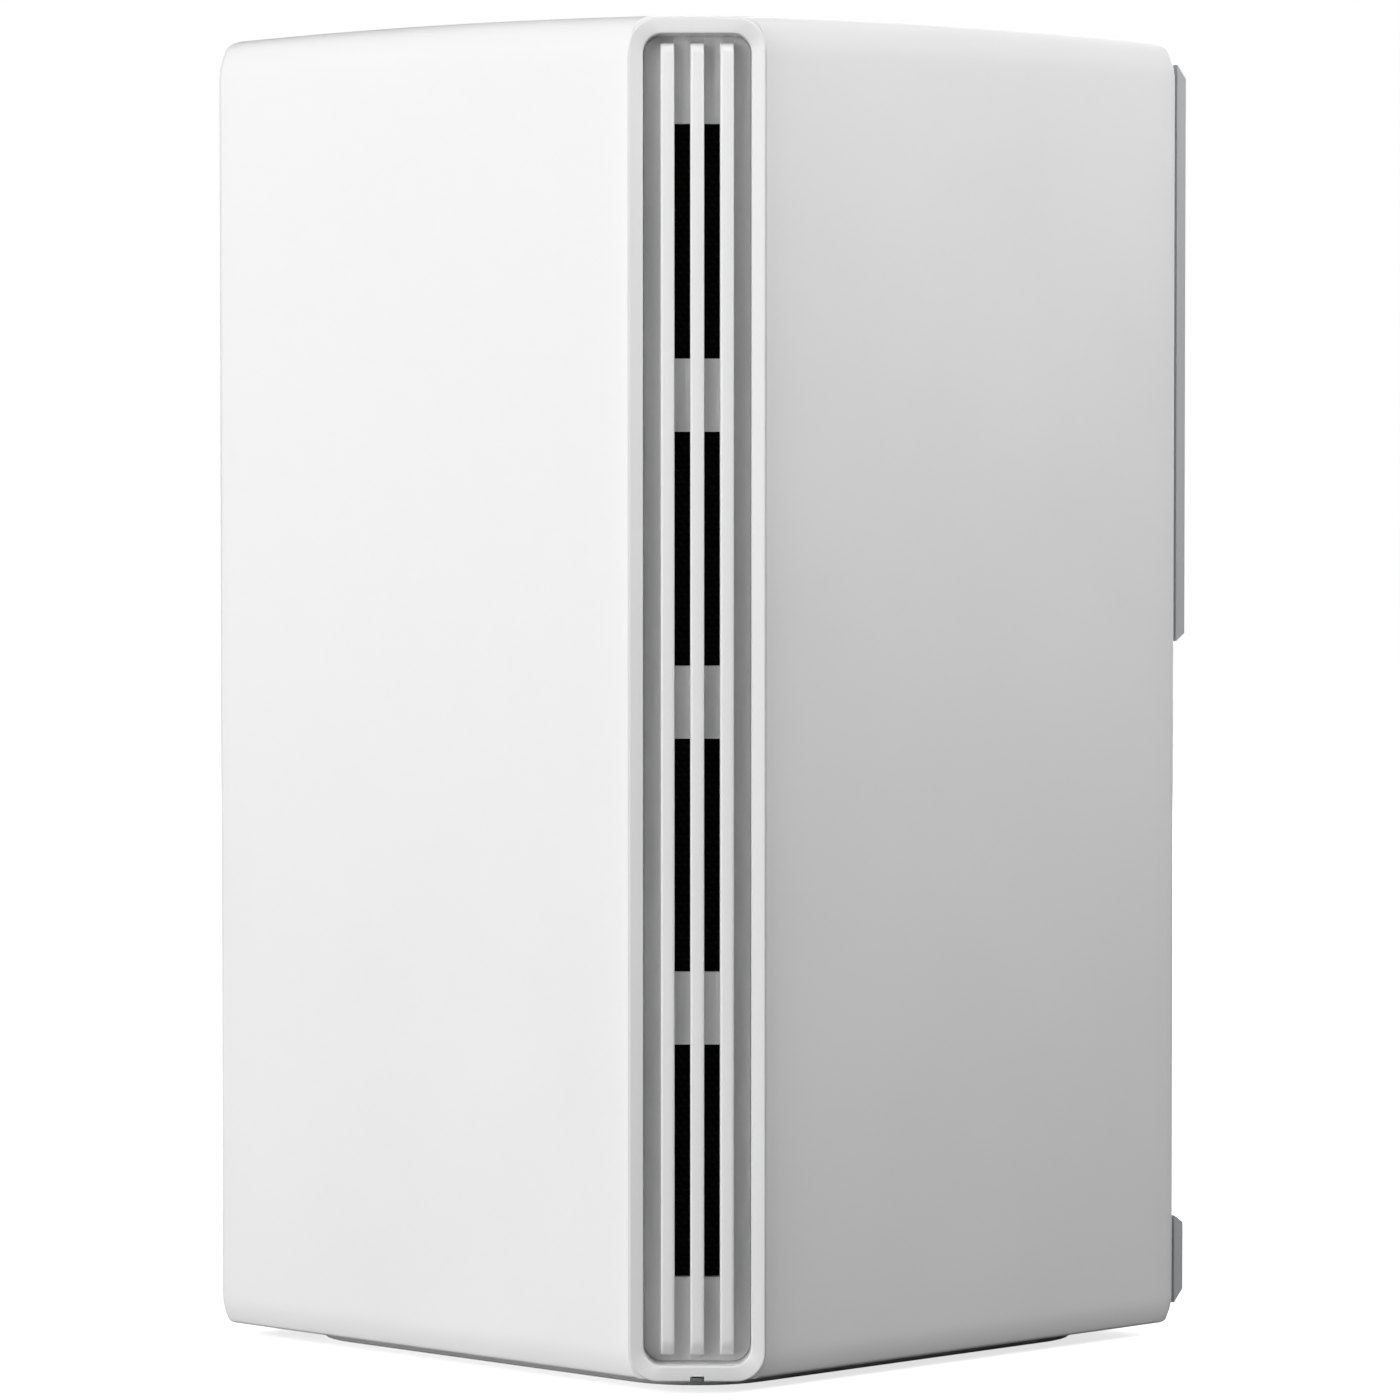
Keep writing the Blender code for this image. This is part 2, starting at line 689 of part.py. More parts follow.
SHIELD_HALF = (13.0, 15.0)
SHIELD_TALL = 3.2
TRANSFORMER_HALF = (6.0, 12.0)
TRANSFORMER_TALL = 5.6
CAPACITOR_RADIUS = 4.0
CAPACITOR_TALL = 11.0
INDUCTOR_HALF = 5.0
INDUCTOR_TALL = 4.2
part_x = board_right + GAP
for number, level in enumerate((142.0, 108.0), start=1):
    lid = slab(
        f"rf_shield_{number}", part_x, part_x + SHIELD_TALL, (1.0, level), SHIELD_HALF, STEEL, True
    )
    soften(lid, 0.5)
for number in (1, 2):
    middle = (
        jack_front - JACK_DEEP - 9.0,
        BASE_Z + JACK_FIRST + (number * 2 - 1.5) * JACK_PITCH,
    )
    slab(
        f"lan_transformer_{number}", part_x, part_x + TRANSFORMER_TALL, middle, TRANSFORMER_HALF,
        BLACK,
    )
for number, y in enumerate((4.0, -8.0), start=1):
    can = extrusion(circle(CAPACITOR_RADIUS, (y, 27.0)), "x", part_x, part_x + CAPACITOR_TALL)
    piece(f"power_capacitor_{number}", can, ALUMINIUM)
inductor = slab(
    "power_inductor", part_x, part_x + INDUCTOR_TALL, (-7.5, 43.0), (INDUCTOR_HALF, INDUCTOR_HALF),
    CHASSIS, True,
)
soften(inductor, 1.0)

head_x = board_right + GAP
for number, level in enumerate(screw_levels, start=1):
    spot = (screw_y, level)
    piece(
        f"board_screw_{number}",
        extrusion(circle(SCREW_HEAD, spot, 16), "x", head_x, head_x + SCREW_HEAD_THICK),
        STEEL,
        joins=[extrusion(circle(SCREW_SHANK, spot, 16), "x", BOARD_X - 5.0, board_right + 1.0)],
    )

# ---- chassis, antennas ---------------------------------------------------------------------

TRAY_LOW = BASE_Z + BASE_RISE + BASE_THICK + GAP + 1.6
TRAY_HIGH = TRAY_LOW + 2.0
RING_LOW = 126.0
RING_HIGH = 162.0
RING_HALF = 42.6
RING_WALL = 1.6
BASE_SCREWS = [(x, y) for x in (-28.0, 28.0) for y in (-24.0, 28.0)]

posts = [
    box((BOARD_X - GAP - 7.0, screw_y - 4, TRAY_LOW + 1), (BOARD_X - GAP, screw_y + 4, RING_HIGH)),
    box((BOARD_X - GAP - 7.0, -RING_HALF, 140.0), (BOARD_X - GAP, screw_y - 3, 146.0)),
    box((-RING_HALF, -3.0, TRAY_LOW + 1), (-RING_HALF + 3.0, 3.0, RING_HIGH)),
    box((-5.0, RING_HALF - 5.0, TRAY_LOW + 1), (1.0, RING_HALF - 1.0, BASE_Z + PLATE_LOW - 6)),
]
ring_outer = extrusion(chamfered_square(RING_HALF, 50.5, 3.0), "z", RING_LOW, RING_HIGH)
ring_inner = extrusion(
    chamfered_square(RING_HALF - RING_WALL, 48.9, 1.6), "z", TRAY_HIGH, RING_HIGH + 5
)
bosses = [
    extrusion(circle(3.6, spot, 16), "z", TRAY_LOW - 1.6, TRAY_LOW + 1) for spot in BASE_SCREWS
]
tray = extrusion(chamfered_square(RING_HALF, 46.0, 3.0), "z", TRAY_LOW, TRAY_HIGH)
tray_window = extrusion(rounded_rectangle(44.0, 36.0, 4.0), "z", TRAY_LOW - 4, TRAY_HIGH + 4)
chassis_holes = [
    extrusion(circle(SCREW_SHANK + GAP, spot, 16), "z", TRAY_LOW - 4, TRAY_HIGH + 3)
    for spot in BASE_SCREWS
]
chassis_holes += [
    extrusion(circle(SCREW_SHANK + GAP, (screw_y, level), 16), "x", BOARD_X - 5.6, BOARD_X + 1)
    for level in screw_levels
]
piece(
    "inner_chassis", tray, CHASSIS, joins=[*posts, *bosses], cuts=[tray_window, *chassis_holes],
    smooth=False,
)
ring_notches = [
    box((BOARD_X - GAP - 7.0 - GAP, -RING_HALF - 1, 139.0), (BOARD_X, -RING_HALF + 3, 147.0)),
    box(
        (-RING_HALF - 1, -3.0 - GAP, RING_LOW - 1),
        (-RING_HALF + 3 + GAP, 3.0 + GAP, RING_HIGH + 1),
    ),
    box((-30.0, RING_HALF - 3, RING_LOW + 3), (30.0, RING_HALF + 1, RING_HIGH - 6)),
]
piece("antenna_carrier", ring_outer, CHASSIS, cuts=[ring_inner, *ring_notches], smooth=False)

ANTENNA_THICK = 0.8
ANTENNA_LONG = 34.0
ANTENNA_LOW = 128.0
ANTENNA_HIGH = 166.0
antenna_in = RING_HALF + GAP
antenna_out = antenna_in + ANTENNA_THICK
antenna_spots = {
    "left": ((-antenna_out, 8.0), (-antenna_in, 8.0 + ANTENNA_LONG * 0.8)),
    "front": ((-34.0, -antenna_out), (-34.0 + ANTENNA_LONG, -antenna_in)),
    "right": ((antenna_in, -6.0), (antenna_out, -6.0 + ANTENNA_LONG)),
}
for name, (low, high) in antenna_spots.items():
    board = box((*low, ANTENNA_LOW), (*high, ANTENNA_HIGH))
    piece(f"antenna_board_{name}", board, BOARD_GREEN, smooth=False)
piece(
    "antenna_board_top",
    box((-34.0, -20.0, RING_HIGH + 8.0), (0.0, 14.0, RING_HIGH + 8.0 + ANTENNA_THICK)),
    BOARD_GREEN, smooth=False,
)


def cable(name, route, radius=0.6):
    """A round lead along a smooth curve through the given points."""
    curve = bpy.data.curves.new(name, "CURVE")
    curve.dimensions = "3D"
    curve.bevel_depth = radius * MM
    curve.bevel_resolution = 2
    curve.use_fill_caps = True
    samples = 6
    path = []
    ends = [route[0], *route, route[-1]]
    for a, b, c, d in zip(ends, ends[1:], ends[2:], ends[3:]):
        for step in range(samples):
            t = step / samples
            path.append([
                0.5 * (2 * q + (r - p) * t + (2 * p - 5 * q + 4 * r - s) * t * t
                       + (3 * q - p - 3 * r + s) * t ** 3)
                for p, q, r, s in zip(a, b, c, d)
            ])
    path.append(route[-1])
    spline = curve.splines.new("POLY")
    spline.points.add(len(path) - 1)
    for point, spot in zip(spline.points, path):
        point.co = (*[value * MM for value in spot], 1.0)
    made = bpy.data.objects.new(name, curve)
    made.data.materials.append(BLACK)
    bpy.context.scene.collection.objects.link(made)
    made.parent = casing
    return made


socket_x = board_right + 1.2
cable(
    "antenna_cable_right",
    [(antenna_in - 1.0, 10.0, 164.5), (38.0, 11.0, 165.5), (31.0, 14.0, 163.0),
     (22.0, 17.0, 158.0), (socket_x, 19.0, 152.0)],
)
cable(
    "antenna_cable_front",
    [(-10.0, -antenna_in + 1.2, 164.5), (-6.0, -38.0, 166.5), (6.0, -32.0, 169.0),
     (18.0, -26.5, 167.5), (22.5, -16.0, 162.5), (socket_x, -10.0, 160.5)],
)
cable(
    "antenna_cable_left",
    [(-antenna_in + 1.2, 24.0, 164.5), (-38.0, 25.0, 166.5), (-20.0, 26.0, 168.0),
     (4.0, 26.0, 168.5), (18.0, 25.0, 169.0), (22.0, 25.0, 164.5), (socket_x, 25.0, 158.0)],
)
cable(
    "antenna_cable_top",
    [(-2.0, 2.0, RING_HIGH + 7.0), (6.0, 2.0, 168.5), (17.0, 2.0, 169.5),
     (22.0, 2.5, 165.0), (socket_x, 3.0, 160.5)],
)

# ---- base and foot -------------------------------------------------------------------------

INLET_WIDTH = 46.0
INLET_TALL = 2.6
base_low = BASE_Z + BASE_RISE
inlets = [
    extrusion(
        rounded_rectangle(INLET_WIDTH, INLET_TALL, 1.2, 3, (0, offset)),
        "z", base_low - 2, base_low + 5,
    )
    for offset in (-15, -10, -5, 0, 5, 10, 15)
]
screw_holes = [
    extrusion(circle(SCREW_SHANK + GAP, spot, 16), "z", base_low - 2, base_low + 5)
    for spot in BASE_SCREWS
]
screw_wells = [
    extrusion(circle(SCREW_HEAD + GAP, spot, 16), "z", base_low - 2, base_low + 1.2)
    for spot in BASE_SCREWS
]
piece(
    "base_plate",
    extrusion(chamfered_square(HALF - WALL - GAP, 52.0, 1.2), "z", base_low, base_low + BASE_THICK),
    CHASSIS, cuts=[*inlets, *screw_wells, *screw_holes], smooth=False,
)
for number, spot in enumerate(BASE_SCREWS, start=1):
    piece(
        f"base_screw_{number}",
        extrusion(circle(SCREW_HEAD, spot, 16), "z", base_low - 0.4, base_low + 0.9),
        STEEL,
        joins=[extrusion(circle(SCREW_SHANK, spot, 16), "z", base_low + 0.5, TRAY_HIGH)],
    )
piece(
    "base_foot",
    extrusion(rounded_rectangle(FOOT_SIDE, FOOT_SIDE, FOOT_RADIUS, 10), "z", 0.0, base_low - GAP),
    FOOT_GREY,
    cuts=[
        extrusion(
            rounded_rectangle(
                FOOT_SIDE - 2 * FOOT_RING, FOOT_SIDE - 2 * FOOT_RING, FOOT_RADIUS - FOOT_RING + 2, 8
            ),
            "z", -3.0, base_low + 3,
        )
    ],
)
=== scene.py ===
# %% [markdown]
# # A tower wireless router
#
# The imported model brings the design: every solid at its real size and place. This script gives
# it its looks. It makes fine meshes for the pieces that show, gives each piece a material with
# grain and small variations, and sets the router on a pale floor under soft studio light.
#
# We start by loading the frame, and by keeping the box of the design.

# %% Load the frame
from math import pi, radians, sqrt

import bmesh
import bpy
import numpy as np
from mathutils import Matrix, Vector


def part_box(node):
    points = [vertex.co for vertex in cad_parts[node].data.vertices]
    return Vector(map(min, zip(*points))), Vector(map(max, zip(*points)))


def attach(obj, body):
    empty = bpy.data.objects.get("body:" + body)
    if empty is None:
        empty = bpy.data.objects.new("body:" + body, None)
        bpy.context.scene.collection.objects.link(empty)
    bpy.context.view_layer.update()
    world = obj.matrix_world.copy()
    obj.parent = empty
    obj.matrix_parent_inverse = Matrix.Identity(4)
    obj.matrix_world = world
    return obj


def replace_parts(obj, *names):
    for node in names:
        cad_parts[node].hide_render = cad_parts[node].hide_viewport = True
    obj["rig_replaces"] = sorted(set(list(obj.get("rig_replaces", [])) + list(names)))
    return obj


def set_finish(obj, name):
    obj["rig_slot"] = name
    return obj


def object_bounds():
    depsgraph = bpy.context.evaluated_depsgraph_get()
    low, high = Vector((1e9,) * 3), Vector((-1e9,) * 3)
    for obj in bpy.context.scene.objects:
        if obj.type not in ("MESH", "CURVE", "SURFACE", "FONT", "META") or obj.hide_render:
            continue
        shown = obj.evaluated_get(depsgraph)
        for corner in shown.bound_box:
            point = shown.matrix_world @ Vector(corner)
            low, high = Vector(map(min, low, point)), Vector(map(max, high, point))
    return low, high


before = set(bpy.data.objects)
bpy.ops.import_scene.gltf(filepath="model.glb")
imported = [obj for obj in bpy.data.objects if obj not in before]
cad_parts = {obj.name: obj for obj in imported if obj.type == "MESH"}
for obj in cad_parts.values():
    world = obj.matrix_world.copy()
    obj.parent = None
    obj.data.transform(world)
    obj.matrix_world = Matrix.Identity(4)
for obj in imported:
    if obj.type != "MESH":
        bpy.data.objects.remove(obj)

DESIGN_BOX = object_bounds()
MM = 0.001
BODY = "router"
print("design box", [round(side, 4) for side in DESIGN_BOX[1] - DESIGN_BOX[0]])

# %% [markdown]
# ## Where things are
#
# The casing is a square tower. Its middle, its half width and its two levels come from the box
# of its node. The vent strip stands on the corner that faces (+X, -Y), so it is easier to think
# of it along two turned directions: `OUT` points out of that corner, and `ACROSS` runs from the
# left face to the right face. `strip_span` measures a node along them.

# %% Measures taken from the frame
shell_low, shell_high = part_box("outer_shell")
MIDDLE = (shell_low + shell_high) / 2
HALF = (shell_high.x - shell_low.x) / 2
LOWER = shell_low.z
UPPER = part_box("grille_frame")[1].z
PEAK = shell_high.z
OUT = Vector((1.0, -1.0, 0.0)) / sqrt(2)
ACROSS = Vector((1.0, 1.0, 0.0)) / sqrt(2)


def strip_span(node):
    """Lowest and highest (across, out, up) of a node, from the casing's middle line."""
    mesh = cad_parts[node].data
    spots = np.empty(len(mesh.vertices) * 3)
    mesh.vertices.foreach_get("co", spots)
    spots = spots.reshape(-1, 3) - np.array((MIDDLE.x, MIDDLE.y, 0.0))
    turned = np.stack([spots @ np.array(ACROSS), spots @ np.array(OUT), spots[:, 2]], axis=1)
    return turned.min(axis=0), turned.max(axis=0)


frame_low, frame_high = strip_span("grille_frame")
insert_low, insert_high = strip_span("grille_insert")
STRIP_FRONT = frame_high[1]
FRAME_HALF = frame_high[0]
COLLAR_BACK = frame_low[1]
MID_HEIGHT = (LOWER + UPPER) / 2
HEIGHT_HALF = (UPPER - LOWER) / 2
print("casing", round(2 * HALF, 4), "wide,", round(UPPER - LOWER, 4), "tall at its corners")
print("strip stands", round(STRIP_FRONT, 4), "out, half width", round(FRAME_HALF, 4))

# %% [markdown]
# ## Three helpers for surfaces
#
# Nearly every shape here is a grid: a row of points carried along a second direction. The first
# helper turns a grid of points into a mesh. It makes all the faces at once with index
# arithmetic, joins the ends of a row into a ring, and can close the first and last row with a
# fan of triangles around their middle.
#
# The second rounds the corners of an outline, and the third gives the points around a rounded
# rectangle as two lists, a corner place and an outward direction, so that many rings of
# different sizes can be made in one array sum.

# %% Grid, rounding and rounded-rectangle helpers
def grid_piece(name, points, ring_rows=False, caps=False):
    """Mesh object of a (rows, columns, 3) array. Columns close on themselves; rows may too."""
    rows, columns = points.shape[:2]
    index = np.arange(rows * columns).reshape(rows, columns)
    below = index if ring_rows else index[:-1]
    above = np.roll(index, -1, axis=0) if ring_rows else index[1:]
    quads = np.stack(
        [below, np.roll(below, -1, axis=1), np.roll(above, -1, axis=1), above], axis=-1
    ).reshape(-1, 4)
    spots = points.reshape(-1, 3)
    faces = quads.tolist()
    if caps:
        first, last = rows * columns, rows * columns + 1
        spots = np.vstack([spots, points[0].mean(axis=0), points[-1].mean(axis=0)])
        start, end = index[0], index[-1]
        faces += np.stack([np.roll(start, -1), start, np.full(columns, first)], axis=-1).tolist()
        faces += np.stack([end, np.roll(end, -1), np.full(columns, last)], axis=-1).tolist()
    mesh = bpy.data.meshes.new(name)
    mesh.from_pydata(spots.tolist(), [], faces)
    mesh.update()
    return finished(name, mesh)


def finished(name, mesh, sharp=40.0):
    """Object on a mesh whose faces are turned outwards and shaded smooth up to an angle."""
    bm = bmesh.new()
    bm.from_mesh(mesh)
    bmesh.ops.recalc_face_normals(bm, faces=bm.faces)
    if bm.calc_volume(signed=True) < 0:
        bmesh.ops.reverse_faces(bm, faces=bm.faces)
    bm.to_mesh(mesh)
    bm.free()
    mesh.shade_smooth()
    mesh.set_sharp_from_angle(angle=radians(sharp))
    made = bpy.data.objects.new(name, mesh)
    bpy.context.scene.collection.objects.link(made)
    return made


def rounded(corners, radii, steps=5):
    """Closed outline with each corner replaced by a quadratic curve that starts its radius
    before the corner and ends its radius after it: (1-t)^2 a + 2t(1-t) corner + t^2 b."""
    corners = np.array(corners, float)
    before = np.roll(corners, 1, axis=0) - corners
    after = np.roll(corners, -1, axis=0) - corners
    reach = np.array(radii, float)[:, None]
    a = corners + before / np.linalg.norm(before, axis=1, keepdims=True) * reach
    b = corners + after / np.linalg.norm(after, axis=1, keepdims=True) * reach
    t = np.linspace(0.0, 1.0, steps + 1)[None, :, None]
    curve = (1 - t) ** 2 * a[:, None] + 2 * t * (1 - t) * corners[:, None] + t ** 2 * b[:, None]
    return curve.reshape(-1, 2)


def loop_parts(side_steps, corner_steps):
    """Corner place and outward direction of each point round a rounded rectangle. A point of a
    ring is place * (half size - radius) + direction * radius."""
    turn = np.linspace(0.0, pi / 2, corner_steps + 1)
    run = np.linspace(0.0, 1.0, side_steps + 1)[1:-1]
    signs = np.array([(1, 1), (-1, 1), (-1, -1), (1, -1)], float)
    places, ways = [], []
    for number in range(4):
        angle = turn + number * pi / 2
        places.append(np.repeat(signs[number][None], len(turn), axis=0))
        ways.append(np.stack([np.cos(angle), np.sin(angle)], axis=1))
        following = signs[(number + 1) % 4]
        places.append(signs[number] + (following - signs[number]) * run[:, None])
        ways.append(np.repeat(ways[-1][-1][None], len(run), axis=0))
    return np.vstack(places), np.vstack(ways)


# %% [markdown]
# ## Cutting and softening
#
# Holes with square ends are easiest to cut. `carve` takes blocks away from a piece with Boolean
# modifiers and keeps the result as a plain mesh.
#
# Moulded plastic has no truly sharp edge: a tool can't make one, and a thin bright line along
# each edge is much of what makes plastic look real. `softened` takes a copy of one of the
# design's nodes, joins its loose triangles, and rounds its edges with a Bevel.

# %% Carve and soften helpers
EDGE_ANGLE = radians(38.0)
LARGEST_FACE = 100       # a corner takes its direction from the largest face that meets there
SAME_PLACE = 0.002 * MM  # corners closer than this are one corner
SAME_PLANE = radians(2.0)


def applied(piece):
    """Replace the piece's mesh by what its modifiers make of it."""
    graph = bpy.context.evaluated_depsgraph_get()
    mesh = bpy.data.meshes.new_from_object(piece.evaluated_get(graph))
    piece.modifiers.clear()
    piece.data = mesh
    return piece


def block(name, low, high, turned=False):
    """Closed block between two corners, or one modelled across the strip and turned to it."""
    bm = bmesh.new()
    bmesh.ops.create_cube(bm, size=1.0)
    low, high = Vector(low), Vector(high)
    bmesh.ops.scale(bm, vec=high - low, verts=bm.verts)
    bmesh.ops.translate(bm, vec=(low + high) / 2, verts=bm.verts)
    mesh = bpy.data.meshes.new(name)
    bm.to_mesh(mesh)
    bm.free()
    if turned:
        mesh.transform(strip_matrix())
        mesh.flip_normals()
    made = bpy.data.objects.new(name, mesh)
    bpy.context.scene.collection.objects.link(made)
    return made


def strip_matrix():
    """Takes (across, out, up) to the frame's own axes. It mirrors, so normals are flipped after."""
    turn = Matrix((ACROSS, OUT, (0.0, 0.0, 1.0))).transposed().to_4x4()
    return Matrix.Translation((MIDDLE.x, MIDDLE.y, 0.0)) @ turn


def carve(piece, cutters):
    """Cut each cutter out of the piece, then remove the cutters."""
    for cutter in cutters:
        step = piece.modifiers.new(cutter.name, "BOOLEAN")
        step.operation = "DIFFERENCE"
        step.solver = "EXACT"
        step.object = cutter
    applied(piece)
    for cutter in cutters:
        bpy.data.objects.remove(cutter, do_unlink=True)
    return piece


def round_edges(piece, width, segments=3):
    """Round every edge sharper than the edge angle, and keep the flats flat."""
    bevel = piece.modifiers.new("rounded edges", "BEVEL")
    bevel.width = width
    bevel.segments = segments
    bevel.limit_method = "ANGLE"
    bevel.angle_limit = EDGE_ANGLE
    flats = piece.modifiers.new("flat faces", "WEIGHTED_NORMAL")
    flats.mode = "FACE_AREA"
    flats.weight = LARGEST_FACE
    piece.data.shade_smooth()
    return piece


def softened(node, name, width, segments=3):
    """Copy of a node with its edges rounded, which stands for the node."""
    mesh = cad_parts[node].data.copy()
    bm = bmesh.new()
    bm.from_mesh(mesh)
    bmesh.ops.remove_doubles(bm, verts=bm.verts, dist=SAME_PLACE)
    bmesh.ops.dissolve_limit(bm, angle_limit=SAME_PLANE, verts=bm.verts, edges=bm.edges)
    bm.to_mesh(mesh)
    bm.free()
    made = bpy.data.objects.new(name, mesh)
    bpy.context.scene.collection.objects.link(made)
    round_edges(made, width, segments)
    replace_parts(made, node)
    return made


# %% [markdown]
# ## The casing
#
# On the real router the four walls and the top are one moulding. It could be a cube with a
# Bevel, but two things would be lost: the walls lean in a little over the last few millimetres
# before they turn over, and the top is very slightly domed. Both are small, and both decide how
# light runs along the top edge. So the casing is a stack of rings, each a rounded square. The
# height and the inset of each ring follow a formula, and the dome is added to their height.

# %% Casing profile
CROWN = PEAK - UPPER
CORNER_RADIUS = 1.7 * MM
SHOULDER = 5.5 * MM
SHOULDER_LEAN = 1.05 * MM
SHOULDER_EDGE = 1.2 * MM
HEEL = 4.0 * MM
HEEL_LEAN = 0.75 * MM
HEEL_EDGE = 0.45 * MM
WALL = 2.2 * MM
CEILING = 3.0 * MM
DOME_REACH = 0.97    # the dome's last ring, as a share of the half width


def lean_and_turn(depth, reach, lean, edge):
    """Inset at a depth from an end: lean * (1 - depth/reach)^2, plus a quarter round of the
    edge's radius over its last stretch."""
    soft = lean * np.clip(1 - depth / reach, 0, 1) ** 2
    near = np.clip(1 - depth / edge, 0, 1)
    return soft + edge * (1 - np.sqrt(1 - near ** 2))


def crown_rise(x, y):
    """Height of the dome over the corners: it falls with the square of the distance."""
    return CROWN * (1 - (x ** 2 + y ** 2) / (2 * HALF ** 2))


def casing_rows():
    """Inset, height and whether the dome lifts it, for each ring from the heel to the middle."""
    quarter = np.linspace(0, 1, 9) ** 2
    heel_depth = np.concatenate([HEEL_EDGE * quarter, np.linspace(HEEL_EDGE, HEEL, 7)[1:]])
    shoulder_depth = np.concatenate(
        [np.linspace(SHOULDER, SHOULDER_EDGE, 9)[:-1], SHOULDER_EDGE * quarter[::-1]]
    )
    heel = lean_and_turn(heel_depth, HEEL, HEEL_LEAN, HEEL_EDGE)
    shoulder = lean_and_turn(shoulder_depth, SHOULDER, SHOULDER_LEAN, SHOULDER_EDGE)
    dome = np.linspace(shoulder[-1], HALF * DOME_REACH, 15)[1:]
    inset = np.concatenate([heel, shoulder, dome])
    height = np.concatenate(
        [LOWER + heel_depth, UPPER - shoulder_depth, np.full(len(dome), UPPER)]
    )
    lifted = np.concatenate([np.zeros(len(heel)), np.ones(len(shoulder) + len(dome))])
    return inset, height, lifted


# %% [markdown]
# The casing starts as a closed block with that skin. Then the openings are cut: the square well
# inside, the flat on the corner that carries the strip with the hole behind it, and on the rear
# the port plate's opening and the air outlet. Last, the casing is shaded smooth, and edges
# sharper than the edge angle are kept sharp.

# %% Casing mesh
PLAY = 0.3 * MM
PANEL_REACH = 5.0 * MM
OUTLET_HALF = 27.0 * MM
OUTLET_MIDDLE = LOWER + 142.0 * MM
OUTLET_TALL = 26.2 * MM
COLLAR_SHARE = 0.95  # half width of the collar's hole, as a share of the frame's
PLATE_EDGE = 2.0 * MM


def casing_surface():
    """Grid of the casing: each row is a rounded square at its own inset and height."""
    place, way = loop_parts(24, 8)
    inset, height, lifted = casing_rows()
    half = (HALF - inset)[:, None, None]
    radius = np.minimum(CORNER_RADIUS, 0.6 * half)
    flat = place[None] * (half - radius) + way[None] * radius
    x, y = flat[..., 0], flat[..., 1]
    z = height[:, None] + lifted[:, None] * crown_rise(x, y)
    return np.stack([x + MIDDLE.x, y + MIDDLE.y, z], axis=-1)


def casing_cutters():
    """Blocks for the well, the corner flat, the collar, the port plate and the air outlet."""
    seat = strip_span("outer_shell")[1][1]
    collar = COLLAR_SHARE * FRAME_HALF
    low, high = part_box("port_plate")
    rim = PLATE_EDGE - PLAY
    back = MIDDLE.y + HALF
    well = HALF - WALL
    return [
        block(
            "well", (MIDDLE.x - well, MIDDLE.y - well, LOWER - WALL),
            (MIDDLE.x + well, MIDDLE.y + well, UPPER - CEILING),
        ),
        block("corner flat", (-HALF, seat, LOWER - WALL), (HALF, 2 * seat, PEAK + WALL), True),
        block(
            "collar hole", (-collar, COLLAR_BACK - WALL, LOWER + WALL),
            (collar, seat + WALL, UPPER - WALL), True,
        ),
        block(
            "plate hole", (low.x + rim, back - PANEL_REACH, low.z + rim),
            (high.x - rim, back + PANEL_REACH, high.z - rim),
        ),
        block(
            "outlet", (MIDDLE.x - OUTLET_HALF, back - PANEL_REACH, OUTLET_MIDDLE - OUTLET_TALL),
            (MIDDLE.x + OUTLET_HALF, back + PANEL_REACH, OUTLET_MIDDLE + OUTLET_TALL),
        ),
    ]


casing_shell = carve(grid_piece("casing_shell", casing_surface(), caps=True), casing_cutters())
casing_shell.data.shade_smooth()
casing_shell.data.set_sharp_from_angle(angle=EDGE_ANGLE)
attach(casing_shell, BODY)
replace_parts(casing_shell, "outer_shell")
print("casing faces", len(casing_shell.data.polygons))

# %% [markdown]
# ## The strip's frame
#
# The frame is one shape carried round a rounded rectangle. Its cross-section is a closed loop:
# up the outer wall, over a rounded outer edge, along the front band, which falls a little
# towards the opening like a shallow funnel, over the inner edge, and down the long collar that
# passes through the casing. The falling band matters: its left and right halves face different
# ways, so one side of the frame looks lighter than the other although both are one plastic.

# %% Strip frame
BAND = 1.85 * MM
BAND_END = 2.05 * MM
BAND_FALL = 0.5 * MM
OUTER_EDGE = 0.25 * MM
INNER_EDGE = 0.22 * MM
COLLAR_THICK = 0.8 * MM
FRAME_CORNER = 3.8 * MM
CORNER_SHRINK = 0.7  # how much of a ring's inset its corner radius loses
FRAME_BACK = STRIP_FRONT - 2.7 * MM
HAIR = 0.05 * MM
WINDOW_OVER = 0.2 * MM


def frame_section(fall):
    """Outline of the frame's cross-section as (distance in from the outer wall, distance out).
    The front band falls by the given height from its outer to its inner edge."""
    corners = [
        (0.0, FRAME_BACK), (0.0, STRIP_FRONT), (BAND, STRIP_FRONT - fall),
        (BAND, COLLAR_BACK), (BAND - COLLAR_THICK, COLLAR_BACK),
        (BAND - COLLAR_THICK, FRAME_BACK),
    ]
    return rounded(corners, [HAIR, OUTER_EDGE, INNER_EDGE, HAIR, HAIR, HAIR], 4)


def frame_surface():
    """Every point of the section, carried round the frame. A point that lies further in has a
    smaller rounded rectangle, with a smaller corner radius; the short sides have a wider band.
    The band falls on the long sides and lies flat on the short ones, in the measure of how far
    the outward direction points sideways."""
    place, way = loop_parts(12, 10)
    section = frame_section(0.0)
    sloped = frame_section(BAND_FALL)[:, 1][:, None]
    inward = section[:, 0][:, None]
    radius = FRAME_CORNER - CORNER_SHRINK * inward
    across = place[None, :, 0] * (FRAME_HALF - inward - radius) + way[None, :, 0] * radius
    end_inward = inward * BAND_END / BAND
    up = place[None, :, 1] * (HEIGHT_HALF - end_inward - radius) + way[None, :, 1] * radius
    sideways = np.abs(way[None, :, 0])
    out = section[:, 1][:, None] * (1 - sideways) + sloped * sideways
    return np.stack([across, out, up + MID_HEIGHT], axis=-1)


